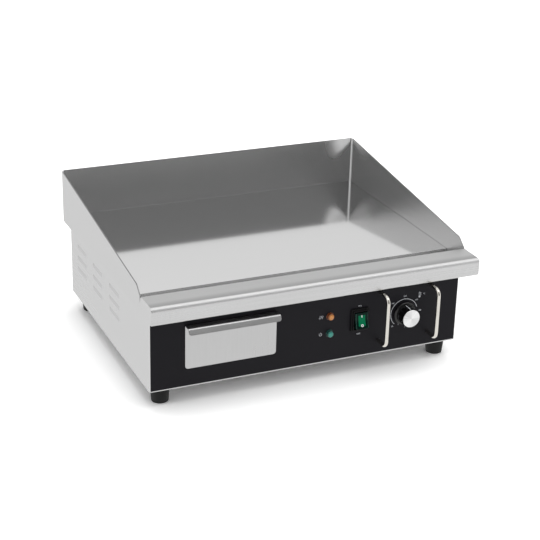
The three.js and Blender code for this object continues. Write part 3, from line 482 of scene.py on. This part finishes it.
# translucent green acrylic of the key: dark round the edge, its window lit by a painted glow, with a paler
# step between painted on the eased edges as a highlight
keyDark = surface("greenAcrylicDark", "#02261d", "#011a14", 4.0, 0.0, (0.12, 0.2),
                  **{"Specular IOR Level": 0.1})
keyLit = surface("greenAcrylicPaintedGlow", "#026340", "#015639", 4.0, 0.0, (0.15, 0.25),
                 **{"Specular IOR Level": 0.1, "Emission Color": tint("#00734a"), "Emission Strength": 0.25})
keyEdge = surface("greenAcrylicEdgeHighlight", "#1d4a40", "#163c34", 4.0, 0.0, (0.2, 0.3),
                  **{"Specular IOR Level": 0.7})
# hot foil pressed into the key
keyPrint = surface("keyPrint", "#f4f5f6", "#e9ebec", 1.5, 0.0, (0.4, 0.5))
guardSteel = guardFinish()
print("materials ready")


def splashGuard():
    # lean and rise place the corner between the steep front of each side wall and its long sloping top
    shape = {"sheet": 2.0, "bend": 5.0, "lean": 16.5, "rise": 13.6, "nick": 2.4, "rim": 0.35}
    low, high = span("splash_guard")
    bm = bmesh.new()
    boxed(bm, low, high)
    corner = Vector((0, low.y + shape["lean"], ledgeHigh.z + shape["rise"]))
    for start, end in (((low.y, ledgeHigh.z), corner.yz), (corner.yz, (high.y, high.z))):
        run = Vector((0, end[0] - start[0], end[1] - start[1]))
        cut(bm, (0, *start), (0, -run.z, run.y), True)
    opened = facesWhere(bm, lambda c, n: abs(n.z) > 0.5 or n.y < -0.5)
    bmesh.ops.delete(bm, geom=opened, context="FACES")
    rear = edgesWhere(bm, lambda v: near(v.y, high.y))
    rounded(bm, [e for e in rear if near(e.verts[0].co.x, e.verts[1].co.x)], shape["bend"], 8)
    tips = [v for v in bm.verts if near(v.co.y, corner.y) and near(v.co.z, corner.z)]
    rounded(bm, tips, shape["nick"], 4, "VERTICES")
    closeUp(bm)
    # the rounded rear corners get the third finish, painted brighter as a highlight
    painted(bm, 2, lambda c, n: abs(n.x) > 0.05 and abs(n.y) > 0.05 and c.y > high.y - shape["bend"])
    finishPiece("splashGuard", bm, [guardSteel, cutSteel, weldSteel], "griddle",
                ["splash_guard"], wall=shape["sheet"], rim=shape["rim"], rimFinish=1)


def frontLedge():
    # folded down into a nose and back under it by the lip, with end plates folded round
    shape = {"sheet": 1.5, "nose": 6.5, "fold": 2.4, "lip": 15.5, "endRound": 2.2}
    low, high = ledgeLow, ledgeHigh
    bm = bmesh.new()
    boxed(bm, low, high)
    for y, z, radius, steps in ((low.y, high.z, "nose", 10), (low.y, low.z, "fold", 3),
                                (high.y, high.z, "fold", 3)):
        rounded(bm, edgesWhere(bm, lambda v: near(v.y, y) and near(v.z, z)), shape[radius], steps)
    for x in (low.x, high.x):
        around = [e for e in edgesWhere(bm, lambda v: near(v.x, x))
                  if not all(near(v.co.z, low.z) for v in e.verts)
                  and not all(near(v.co.y, high.y) for v in e.verts)]
        rounded(bm, around, shape["endRound"], 5)
    cut(bm, (0, low.y + shape["lip"], 0), (0, 1, 0))
    under = facesWhere(bm, lambda c, n: n.z < -0.9 and c.y > low.y + shape["lip"])
    bmesh.ops.delete(bm, geom=under, context="FACES")
    bm.normal_update()
    # the top gets the second finish, painted darker as shade
    painted(bm, 1, lambda c, n: n.z > 0.9 and c.y > low.y + shape["nose"] * 0.9)
    painted(bm, 2, lambda c, n: abs(n.x) > 0.9)
    # the nose gets the fourth finish, painted lighter as a highlight
    painted(bm, 3, lambda c, n: 0.04 < n.z < 0.97 and n.y < -0.1 and abs(n.x) < 0.3)
    finishPiece("frontLedge", bm, [ledgeSteel, ledgeTopSteel, sideSteel, foldSteel], "griddle",
                ["front_ledge"], wall=shape["sheet"])


def louvre(bm, shape, outward, y, z):
    # the cell whose open top is at z is drawn inwards, to full depth along its top and not at all along its
    # foot and ends; curve shapes it upright, ends along its length
    half, height = shape["length"] / 2, shape["height"]

    def inside(place, share=1):
        return abs(place.y - y) < half and 0 < z - place.z < height * share

    cell = facesWhere(bm, lambda c, n: near(c.y, y, 1) and near(c.z, z - height / 2, 1))[0]
    bmesh.ops.subdivide_edges(bm, edges=cell.edges[:], cuts=shape["cells"], use_grid_fill=True)
    top = edgesWhere(bm, lambda v: near(v.z, z) and abs(v.y - y) < half + 0.02)
    bmesh.ops.split_edges(bm, edges=top)
    drawn = {v for f in bm.faces if len(f.verts) == 4 and inside(f.calc_center_median()) for v in f.verts}
    for v in drawn:
        u, w = abs(v.co.y - y) / half, 1 - (z - v.co.z) / height
        if u < 0.999 and w > 0.001:
            v.co.x -= outward * shape["depth"] * w ** shape["curve"] * (1 - u ** shape["ends"])
    # all of each louvre but its lowest tenth gets the second finish, painted darker as shade
    for f in {f for v in drawn for f in v.link_faces}:
        if inside(f.calc_center_median(), shape["shadedShare"]):
            f.material_index = 1


def sidePanel(name, node, outward):
    # the outer columns of louvres are placed from the panel's front and rear edges
    shape = {"sheet": 1.2, "fold": 1.3, "frontFold": 1.5, "flange": 18.0, "columns": 3, "rows": 3,
             "firstColumn": 165.5, "lastColumn": 63.0, "rowPitch": 20.0, "drop": 10.0,
             "length": 50.0, "height": 9.0, "depth": 3.4, "curve": 1.2, "ends": 6, "cells": 17, "shadedShare": 0.9}
    low, high = span(node)
    face = low.x if outward < 0 else high.x
    bm = bmesh.new()
    corners = (low.y, low.z), (low.y, high.z), (high.y, high.z), (high.y, low.z)
    wall = [bm.verts.new((face, y, z)) for y, z in corners]
    bm.faces.new(wall if outward < 0 else wall[::-1])
    bm.normal_update()
    pitch = (high.y - low.y - shape["firstColumn"] - shape["lastColumn"]) / (shape["columns"] - 1)
    columns = [low.y + shape["firstColumn"] + i * pitch for i in range(shape["columns"])]
    tops = [high.z - shape["drop"] - i * shape["rowPitch"] for i in range(shape["rows"])]
    for y in columns:
        for end in (-1, 1):
            cut(bm, (0, y + end * shape["length"] / 2, 0), (0, 1, 0))
    for z in tops:
        for drop in (0, shape["height"]):
            cut(bm, (0, 0, z - drop), (0, 0, 1))
    for y in columns:
        for z in tops:
            louvre(bm, shape, outward, y, z)
    # folded inwards along the front, and along the top into the flange that carries the top unit
    extruded(bm, edgesWhere(bm, lambda v: near(v.y, low.y)), (-outward * shape["frontFold"], 0, 0))
    top = edgesWhere(bm, lambda v: near(v.z, high.z) and near(v.x, face))
    extruded(bm, top, (-outward * shape["flange"], 0, 0))
    folds = edgesWhere(bm, lambda v: near(v.x, face) and (near(v.y, low.y) or near(v.z, high.z)))
    rounded(bm, folds, shape["fold"], 3)
    finishPiece(name, bm, [sideSteel, louvreShadeSteel], "griddle", [node], wall=shape["sheet"],
                smooth=12)


def drawerFront():
    # the lip it is pulled by leans forwards from the top fold
    shape = {"sheet": 1.2, "fold": 1.8, "corner": 5.0, "lipCorner": 4.0, "lipDrop": 8.4, "lean": 5.3,
             "rim": 0.25}
    low, high = span("drawer_front")
    bm = bmesh.new()
    tip = high.z - shape["lipDrop"]
    path = (high.y, low.z), (high.y, high.z), (low.y + shape["lean"], high.z), (low.y, tip)
    made = [bm.verts.new((low.x, y, z)) for y, z in path]
    line = [bm.edges.new(pair) for pair in zip(made, made[1:])]
    extruded(bm, line, (high.x - low.x, 0, 0))
    bmesh.ops.recalc_face_normals(bm, faces=bm.faces)
    bm.normal_update()
    if facesWhere(bm, lambda c, n: near(c.y, high.y))[0].normal.y < 0:
        bmesh.ops.reverse_faces(bm, faces=bm.faces)
    upper = edgesWhere(bm, lambda v: near(v.z, high.z))
    rounded(bm, [e for e in upper if not near(e.verts[0].co.x, e.verts[1].co.x)], shape["fold"], 4)
    for z, radius in ((low.z, "corner"), (tip, "lipCorner")):
        rounded(bm, [v for v in bm.verts if near(v.co.z, z)], shape[radius], 5, "VERTICES")
    finishPiece("drawerFront", bm, drawerSteel, "drawer", ["drawer_front"],
                wall=shape["sheet"], rim=shape["rim"], smooth=40)


def softened(name, node, finish, body, radius=0.3, steps=2):
    # the CAD shape with its triangles merged into plain faces and its edges eased
    bm = bmesh.new()
    bm.from_mesh(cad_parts[node].data)
    bmesh.ops.scale(bm, vec=(1000, 1000, 1000), verts=bm.verts)
    bmesh.ops.remove_doubles(bm, verts=bm.verts, dist=0.002)
    bmesh.ops.dissolve_limit(bm, angle_limit=math.radians(1), verts=bm.verts, edges=bm.edges, delimit=set())
    finishPiece(name, bm, finish, body, [node], rim=radius, rimSteps=steps, smooth=30)


splashGuard()
frontLedge()
sidePanel("leftSidePanel", "left_side_panel", -1)
sidePanel("rightSidePanel", "right_side_panel", 1)
drawerFront()
softened("griddlePlate", "griddle_plate", plateSteel, "griddle", 0.45, 3)
softened("greaseGutter", "grease_gutter", ledgeSteel, "griddle")
softened("drawerTray", "drawer_tray", drawerSteel, "drawer", 0.4)
softened("backPanel", "back_panel", sideSteel, "griddle")
softened("controlPanel", "control_panel", panelFilm, "griddle", 0.25)
softened("cableGland", "cable_gland", blackNylon, "griddle", 0.5)
print("sheet metal ready")


def onPanel(node):
    # the point of the panel's face that lies in front of a node's middle
    low, high = span(node)
    return Vector(((low.x + high.x) / 2, panelFace, (low.z + high.z) / 2))


def spunPiece(name, finish, body, replaced, profile, centre, axis=(0, -1, 0), steps=72, smooth=32):
    bm = bmesh.new()
    turned(bm, profile, centre, axis, steps)
    finishPiece(name, bm, finish, body, replaced, smooth=smooth)


def aroundAxis(tree, centre):
    # outputs for the place as seen from a point of the panel, the same without its depth, and the distance
    # from the axis through that point
    coords = addNode(tree, "TexCoord").outputs["Object"]
    local = addNode(tree, "Mapping", {"Vector": coords, "Location": tuple(-c / 1000 for c in centre)})
    flat = addNode(tree, "VectorMath", {0: local, 1: (1, 0, 1)}, operation="MULTIPLY")
    away = addNode(tree, "VectorMath", {0: flat}, operation="LENGTH")
    return local, flat, away.outputs["Value"]


def lensFinish(name, rimShade, coreShade, glowShade, centre, glow):
    # moulded acrylic: deep at its rim, bright where the bulb sits behind it, with a prism pattern
    setting = {"core": (2.6, 5.6), "prism": 2.2, "relief": 0.4, "share": 0.45}
    made, tree = blankMaterial(name)
    _, flat, away = aroundAxis(tree, centre)
    prisms = addNode(tree, "TexVoronoi", {"Vector": flat, "Scale": 1000 / setting["prism"]})
    full, end = (radius / 1000 for radius in setting["core"])
    core = addNode(tree, "MapRange", {"Value": away, "From Min": full, "From Max": end, "To Min": 1.0,
                                      "To Max": 0.0})
    uneven = addNode(tree, "Math", {0: core, 1: prisms.outputs["Distance"]}, operation="MULTIPLY")
    level = addNode(tree, "Mix", {0: setting["share"], 2: core, 3: uneven}, data_type="FLOAT")
    colour, light = (addNode(tree, "Mix", {0: level, 6: tint(edge), 7: tint(middle)}, data_type="RGBA")
                     for edge, middle in ((rimShade, coreShade), ("#000000", glowShade)))
    relief = addNode(tree, "Bump", {"Height": prisms.outputs["Distance"], "Strength": 0.6,
                                    "Distance": setting["relief"] / 1000})
    shader = addNode(tree, "BsdfPrincipled", {
        "Base Color": colour.outputs[2], "Roughness": 0.12, "IOR": 1.49, "Coat Weight": 0.6,
        "Coat Roughness": 0.05, "Emission Color": light.outputs[2], "Emission Strength": glow,
        "Normal": relief})
    addNode(tree, "OutputMaterial", {"Surface": shader})
    return made


def lamp(name, node, rimShade, coreShade, glowShade, glow):
    # a flange on the panel under a dome with a rounded crown
    gap, flange, depth = 0.3, 6.4, 1.5
    dome, crown, top, reach = 5.6, 4.0, 2.2, 6.6
    centre = onPanel(node)
    finish = lensFinish(name + "Acrylic", rimShade, coreShade, glowShade, centre, glow)
    profile = [(0, gap), (flange - 0.3, gap), (flange, 0.6), (flange - 0.1, 1.1), (flange - 0.7, depth),
               (dome, depth), (dome - 0.1, reach - 2.2), (dome - 0.7, reach - 1.1), (crown, reach - 0.4),
               (top, reach), (0, reach)]
    spunPiece(name, finish, "griddle", [node], profile, centre, steps=40, smooth=28)


def sleeve(bm, centre, rings):
    # rounded rectangles (width, height, corner, reach from the panel) joined one to the next, last to first
    loops = []
    for width, height, corner, reach in rings:
        made = rectangle(bm, width, height, centre - Vector((0, reach, 0)))
        before = set(bm.faces) - set(made[0].link_faces)
        rounded(bm, made, corner, 5, "VERTICES")
        face = (set(bm.faces) - before).pop()
        loops.append(face.edges[:])
        bmesh.ops.delete(bm, geom=[face], context="FACES_ONLY")
    for one, other in zip(loops, loops[1:] + loops[:1]):
        bmesh.ops.bridge_loops(bm, edges=one + other)
    bmesh.ops.recalc_face_normals(bm, faces=bm.faces)


def switchFrame():
    # a flange on the panel and a collar round the key, both (width, height, corner)
    shape = {"flange": (31, 38, 3.0), "collar": (26.5, 33.5, 2.5), "hole": (22.0, 28.6, 0.5),
             "gap": 0.3, "flangeReach": 3.0, "collarReach": 6.0, "rim": 0.7}
    rings = (("flange", "gap"), ("flange", "flangeReach"), ("collar", "flangeReach"),
             ("collar", "collarReach"), ("hole", "collarReach"), ("hole", "gap"))
    bm = bmesh.new()
    sleeve(bm, onPanel("switch_frame"), [(*shape[size], shape[reach]) for size, reach in rings])
    finishPiece("switchFrame", bm, blackNylon, "griddle", ["switch_frame"],
                rim=shape["rim"], rimSteps=3)


def tipped(bm):
    # what is drawn upright round the key's pivot is tilted as the key rests, and put in its place
    tilt, pivot = 13.0, 3.0
    turn(bm, -tilt, "X")
    shift(bm, onPanel("switch_frame") - Vector((0, pivot, 0)))


def switchRocker():
    # (y, z) from the pivot, round the key; its hollowed front is made by rounding the point at its middle
    shape = {"width": 21.0, "hollow": 7.0, "ease": 0.7, "window": (12.6, 17.6), "border": 0.4, "sunk": 0.35,
             "pin": (1.2, 11.82),
             "outline": [(-8, 12.8), (-6, 0), (-8, -12.8), (-2, -11.4), (2.25, -6), (4.5, -2), (4.5, 2),
                         (2.25, 6), (-2, 11.4)]}
    bm = bmesh.new()
    verts = [bm.verts.new((-shape["width"] / 2, y, z)) for y, z in shape["outline"]]
    extruded(bm, [bm.faces.new(verts)], (shape["width"], 0, 0))
    bmesh.ops.recalc_face_normals(bm, faces=bm.faces)
    middle = shape["outline"][1]
    rounded(bm, edgesWhere(bm, lambda v: near(v.y, middle[0]) and near(v.z, middle[1])), shape["hollow"], 6)
    front = [e for e in bm.edges if min(v.co.y for v in e.verts) < -5.5]
    rounded(bm, [e for e in front if e.calc_face_angle(0) > math.radians(60)], shape["ease"], 3)
    across, up = (size / 2 for size in shape["window"])
    for place, normal in (((across, 0, 0), (1, 0, 0)), ((-across, 0, 0), (1, 0, 0)),
                          ((0, 0, up), (0, 0, 1)), ((0, 0, -up), (0, 0, 1))):
        cut(bm, place, normal)
    bm.normal_update()
    # the eased edges get the third finish, painted paler as a highlight
    painted(bm, 2, lambda c, n: c.y < -4.5 and 0.2 < abs(n.x) < 0.97)  # the eased edges catch the light
    window = facesWhere(bm, lambda c, n: n.y < -0.7 and abs(c.x) < across and abs(c.z) < up)
    bmesh.ops.inset_region(bm, faces=window, thickness=shape["border"], depth=-shape["sunk"])
    for f in window:
        f.material_index = 1
    radius, reach = shape["pin"]
    turned(bm, [(0, -reach), (radius, -reach), (radius, reach), (0, reach)], (0, 0, 0), (1, 0, 0), 20)
    tipped(bm)
    finishPiece("switchRocker", bm, [keyDark, keyLit, keyEdge], "rocker", ["switch_rocker"])


def switchMarks():
    # I above and O below, in relief on the key, the O round a dark spot
    shape = {"outer": 2.2, "inner": 1.0, "thick": 0.6, "ring": (0, -6.95, -7.9),
             "bar": ((-0.65, -7.35, 5.2), (0.65, -6.75, 8.8))}
    bm = bmesh.new()
    disc = bmesh.ops.create_circle(bm, segments=28, radius=shape["outer"], cap_ends=True)["verts"]
    disc = disc[0].link_faces[0]
    width = shape["outer"] - shape["inner"]
    band = bmesh.ops.inset_individual(bm, faces=[disc], thickness=width)["faces"]
    disc.material_index = 1
    extruded(bm, band + [disc], (0, 0, shape["thick"]))
    turn(bm, 90, "X")
    shift(bm, shape["ring"])
    boxed(bm, *shape["bar"])
    bmesh.ops.recalc_face_normals(bm, faces=bm.faces)
    tipped(bm)
    finishPiece("switchMarks", bm, [keyPrint, keyDark], "rocker")


def knob():
    # a skirt and a slightly tapered grip, from root to tip, under a turned cap; the pointer lies on the grip
    gap, skirt, skirtDepth = 2.6, 19.0, 2.4
    root, tip, bore, boreDepth = 15.6, 14.8, 3.3, 15.9
    cap, capDepth, seam, reach = 14.5, 1.7, 0.3, 25.0
    pointer, angle = 1.2, 95.0
    centre = onPanel("knob_cap")
    front = gap + skirtDepth
    end = reach - capDepth - seam
    body = [(0, boreDepth), (bore, boreDepth), (bore, gap), (skirt - 0.4, gap), (skirt, gap + 0.4),
            (skirt, front - 0.8), (skirt - 0.7, front - 0.1), (root + 1.6, front + 0.1),
            (root + 0.4, front + 0.7), (root, front + 1.9), (tip + 0.1, end - 1.0), (tip - 0.2, end - 0.25),
            (tip - 0.8, end), (0, end)]
    disc = [(0, end + seam), (cap, end + seam), (cap, reach - 0.6), (cap - 0.35, reach - 0.1),
            (cap - 0.9, reach), (cap - 1.3, reach - 0.12), (0, reach - 0.12)]
    spunPiece("knobBody", knobPhenolic, "knob", ["knob_body"], body, centre)
    spunPiece("knobCap", capAluminium(centre), "knob", ["knob_cap"], disc, centre)
    bm = bmesh.new()
    boxed(bm, (root - 1.4, front + 1.0, -pointer / 2), (root + 0.15, end - 0.6, pointer / 2))
    turn(bm, 180, "X")
    turn(bm, -angle, "Y")
    shift(bm, centre)
    finishPiece("knobPointer", bm, whiteInk, "knob", rim=0.12)


def capAluminium(centre):
    # aluminium faced on a lathe: fine rings in its relief, and bright and dull wedges that fan from the
    # middle, painted into its colour as reflections
    setting = {"dull": "#d6d6d6", "bright": "#fbfbfb", "wedges": 2.0, "depth": 0.32, "spokes": 5.0,
               "ring": 0.5, "relief": 0.006}
    made, tree = blankMaterial("facedAluminium")
    place, _, away = aroundAxis(tree, centre)
    parts = addNode(tree, "SeparateXYZ", {"Vector": place})
    angle = addNode(tree, "Math", {0: parts.outputs["Z"], 1: parts.outputs["X"]}, operation="ARCTAN2")
    fan = addNode(tree, "Math", {0: angle, 1: setting["wedges"]}, operation="MULTIPLY")
    wave = addNode(tree, "Math", {0: fan}, operation="SINE")
    spokes = addNode(tree, "TexNoise", {"W": angle, "Scale": setting["spokes"], "Detail": 4.0},
                     noise_dimensions="1D")
    level = addNode(tree, "Math", {0: wave, 1: setting["depth"], 2: spokes}, operation="MULTIPLY_ADD")
    colour = addNode(tree, "Mix", {0: level, 6: tint(setting["dull"]), 7: tint(setting["bright"])},
                     data_type="RGBA")
    perMetre = 2 * math.pi * 1000 / setting["ring"]
    rings = addNode(tree, "Math", {0: away, 1: perMetre}, operation="MULTIPLY")
    ridge = addNode(tree, "Math", {0: rings}, operation="SINE")
    relief = addNode(tree, "Bump", {"Height": ridge, "Strength": 0.4, "Distance": setting["relief"] / 1000})
    shader = addNode(tree, "BsdfPrincipled", {"Base Color": colour.outputs[2], "Metallic": 1.0,
                                              "Roughness": 0.3, "Normal": relief})
    addNode(tree, "OutputMaterial", {"Surface": shader})
    return made


def guardRod(name, node):
    # runs out of the panel, up in front of it and back in
    shape = {"radius": 3.0, "bend": 10.0, "tail": 8.0, "reach": 28.0}
    low, high = span(node)
    bend, x = shape["bend"], (low.x + high.x) / 2
    lower, upper = low.z + shape["radius"], high.z - shape["radius"]
    back, front = panelFace + shape["tail"], panelFace - shape["reach"]
    bm = bmesh.new()
    made = bmesh.ops.create_circle(bm, segments=20, radius=shape["radius"], cap_ends=False)["verts"]
    turn(bm, 90, "X", made)
    shift(bm, (x, back, lower), made)

    def straight(edges, step):
        return only(bmesh.types.BMEdge, extruded(bm, edges, step))

    def bent(edges, z):
        made = bmesh.ops.spin(bm, geom=edges, cent=(x, front + bend, z), axis=(1, 0, 0), dvec=(0, 0, 0),
                              angle=math.radians(-90), steps=8, use_merge=False)
        return only(bmesh.types.BMEdge, made["geom_last"])

    ring = bm.edges[:]
    bmesh.ops.contextual_create(bm, geom=ring)
    ring = straight(ring, (0, front + bend - back, 0))
    ring = bent(ring, lower + bend)
    ring = straight(ring, (0, 0, upper - lower - 2 * bend))
    ring = bent(ring, upper - bend)
    ring = straight(ring, (0, back - front - bend, 0))
    bmesh.ops.contextual_create(bm, geom=ring)
    closeUp(bm)
    finishPiece(name, bm, rodSteel, "griddle", [node], smooth=50)


lamp("heatLamp", "heat_lamp_lens", "#6e3512", "#d08a3a", "#c9761f", 0.2)
lamp("powerLamp", "power_lamp_lens", "#0d403b", "#1d9484", "#12857a", 0.16)
switchFrame()
switchRocker()
switchMarks()
knob()
guardRod("leftGuard", "guard_left")
guardRod("rightGuard", "guard_right")
print("controls ready")


def foot(name, node):
    # moulded with a pocket below for its screw
    top, bottom, pocket, depth, bore = 15.6, 13.4, 5.5, 12.0, 2.6
    low, high = span(node)
    height = high.z
    profile = [(bore, depth), (pocket, depth), (pocket, 0.6), (pocket + 0.6, 0), (bottom - 1.2, 0),
               (bottom - 0.3, 0.4), (bottom, 1.4), (bottom + 0.1, 3.0), (top - 0.1, height - 1.2),
               (top - 0.2, height - 0.3), (top - 0.8, height), (bore, height), (bore, depth)]
    centre = ((low.x + high.x) / 2, (low.y + high.y) / 2, 0)
    spunPiece(name, footRubber, "griddle", [node], profile, centre, (0, 0, 1), 40)


for end in ("front", "rear"):
    for side in ("left", "right"):
        foot("foot" + end.capitalize() + side.capitalize(), "foot_" + end + "_" + side)
print("feet ready")


# Printing on the panel: strokes are drawn at depth 0 and moved to the panel's face at the end. The ink is
# drawn thicker than a real film, so that it shows; halfLetter is half the thickness of a letter.
ink = {"film": 0.05, "clear": 0.01, "halfLetter": 0.03, "letterMiddle": 0.04}


def letters(bm, text, size, x, z):
    # text turned into a mesh that stands on the panel, facing forwards
    writing = bpy.data.curves.new(text, "FONT")
    writing.body = text
    writing.size = size
    writing.align_x = "CENTER"
    writing.align_y = "CENTER"
    writing.extrude = ink["halfLetter"]
    holder = placed(text, writing)
    mesh = bpy.data.meshes.new_from_object(holder.evaluated_get(bpy.context.evaluated_depsgraph_get()))
    bpy.data.objects.remove(holder)
    place = Matrix.Translation((x, panelFace - ink["letterMiddle"], z))
    mesh.transform(place @ Matrix.Rotation(math.radians(90), 4, "X"))
    glyphs = bmesh.new()
    glyphs.from_mesh(mesh)
    bmesh.ops.remove_doubles(glyphs, verts=glyphs.verts, dist=0.002)
    glyphs.to_mesh(mesh)
    glyphs.free()
    bm.from_mesh(mesh)
    bpy.data.meshes.remove(mesh)


def raised(bm, faces):
    extruded(bm, faces, (0, -ink["film"], 0))


def bar(bm, x0, z0, x1, z1, width):
    # a straight printed stroke
    a, b = Vector((x0, 0, z0)), Vector((x1, 0, z1))
    side = (b - a).normalized().cross(Vector((0, 1, 0))) * width / 2
    raised(bm, [bm.faces.new([bm.verts.new(p) for p in (a - side, b - side, b + side, a + side)])])


def arc(bm, x, z, radius, width, start, sweep, steps):
    # a printed stroke along part of a circle, anticlockwise from the right
    a = math.radians(start)
    ends = [bm.verts.new((x + r * math.cos(a), 0, z + r * math.sin(a)))
            for r in (radius - width / 2, radius + width / 2)]
    edge = bm.edges.new(ends)
    before = set(bm.faces)
    bmesh.ops.spin(bm, geom=ends + [edge], cent=(x, 0, z), axis=(0, -1, 0), dvec=(0, 0, 0),
                   angle=math.radians(sweep), steps=steps, use_merge=abs(sweep) >= 360)
    raised(bm, [f for f in bm.faces if f not in before])


def dial(bm, x, z):
    # two arcs round the knob with a notch between them at the top, and two start marks below
    shape = {"radius": 23.5, "stroke": 0.8, "arcs": ((226, -132, 40), (90, -72, 24)),
             "notch": (-0.9, -0.4, 1.4, 0.5), "marks": ((-9.6, -19.4, -8.8, -18.0), (3.0, -25.8, 3.2, -24.4)),
             "markStroke": 0.6}
    radius = shape["radius"]
    for start, sweep, steps in shape["arcs"]:
        arc(bm, x, z, radius, shape["stroke"], start, sweep, steps)
    side, low, high, stroke = shape["notch"]
    bar(bm, x + side, z + radius + low, x + side, z + radius + high, stroke)
    for x0, z0, x1, z1 in shape["marks"]:
        bar(bm, x + x0, z + z0, x + x1, z + z1, shape["markStroke"])


def thermometer(bm, x, z):
    # bulb, stem and three degree marks
    shape = {"half": 1.0, "stroke": 0.55, "base": -1.6, "top": 4.2, "bulb": -2.6, "bulbStroke": 1.1,
             "marks": (2.0, 3.2), "firstMark": 0.2, "markPitch": 1.8, "markStroke": 0.4}
    half, stroke = shape["half"], shape["stroke"]
    base, top = z + shape["base"], z + shape["top"]
    arc(bm, x, z + shape["bulb"], half, shape["bulbStroke"], 0, 360, 20)
    arc(bm, x, top, half, stroke, 0, 180, 10)
    for side in (-half, half):
        bar(bm, x + side, base, x + side, top, stroke)
    start, end = shape["marks"]
    for step in range(3):
        level = z + shape["firstMark"] + step * shape["markPitch"]
        bar(bm, x + start, level, x + end, level, shape["markStroke"])


def heatSign(bm, x, z):
    # three waves, each of two arcs
    shape = {"columns": (-2.4, 0, 2.4), "side": 0.75, "up": 1.3, "radius": 1.5, "stroke": 0.5}
    for column in shape["columns"]:
        for sign, start in ((1, -60), (-1, 120)):
            arc(bm, x + column - sign * shape["side"], z + sign * shape["up"], shape["radius"],
                shape["stroke"], start, 120, 10)


def mainsSign(bm, x, z):
    # an open ring with a bar in its gap
    shape = {"radius": 2.3, "stroke": 0.55, "bar": (0.4, 3.1)}
    low, high = shape["bar"]
    arc(bm, x, z, shape["radius"], shape["stroke"], 125, 290, 28)
    bar(bm, x, z + low, x, z + high, shape["stroke"])


def panelPrint():
    # the numbers stand on a ring round the knob, each at its angle
    shape = {"numbers": {"50": 226, "100": 182, "150": 138, "200": 90, "250": 42, "300": 0}, "ring": 28.5,
             "numberSize": 3.4, "wordSize": 3.6, "on": 3.4, "off": 6.2, "sign": 8.5,
             "thermometer": (26.1, 26.3), "degrees": (8.0, 1.1)}
    x, _, z = onPanel("knob_cap")
    bm = bmesh.new()
    dial(bm, x, z)
    stemX, stemZ = x + shape["thermometer"][0], z + shape["thermometer"][1]
    thermometer(bm, stemX, stemZ)
    for node, sign in (("heat_lamp_lens", heatSign), ("power_lamp_lens", mainsSign)):
        sign(bm, span(node)[0].x - shape["sign"], onPanel(node).z)
    shift(bm, (0, panelFace - ink["clear"], 0))
    for number, angle in shape["numbers"].items():
        a = math.radians(angle)
        letters(bm, number, shape["numberSize"], x + shape["ring"] * math.cos(a),
                z + shape["ring"] * math.sin(a))
    across, up = shape["degrees"]
    letters(bm, "°C", shape["numberSize"], stemX + across, stemZ + up)
    low, high = span("switch_frame")
    for text, place in (("ON", high.z + shape["on"]), ("OFF", low.z - shape["off"])):
        letters(bm, text, shape["wordSize"], (low.x + high.x) / 2, place)
    bmesh.ops.recalc_face_normals(bm, faces=bm.faces)
    finishPiece("panelPrint", bm, whiteInk, "griddle")


panelPrint()
print("printing ready")


# CAD pieces that keep their own shape, by the starts of their names
kept = (
    (ledgeSteel, ("base_plate", "drain_spout")),
    (zincSteel, ("drawer_housing", "thermostat_body", "thermostat_screw", "heat_shield", "clamp_bar",
                 "clamp_nut", "guard_nut", "foot_screw")),
    (blackNylon, ("heat_lamp_body", "power_lamp_body", "switch_body", "cable_gland_nut")),
    (rodSteel, ("thermostat_shaft",)),
    (elementSheath, ("heating_element",)),
    (mineralWool, ("insulation_mat",)),
    (ceramic, ("terminal_block",)),
    (brass, ("earth_stud",)),
    (copper, ("sensor_bulb", "capillary_tube")),
    (liveSleeve, ("wire_supply_to_switch", "wire_switch_to_thermostat", "wire_thermostat_to_element")),
    (neutralSleeve, ("wire_supply_to_element",)),
)
for name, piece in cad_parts.items():
    finishes = [finish for finish, starts in kept if name.startswith(starts)]
    if finishes:
        piece.material_slots[0].material = finishes[0]
    elif not piece.hide_render:
        print("no finish for", name)
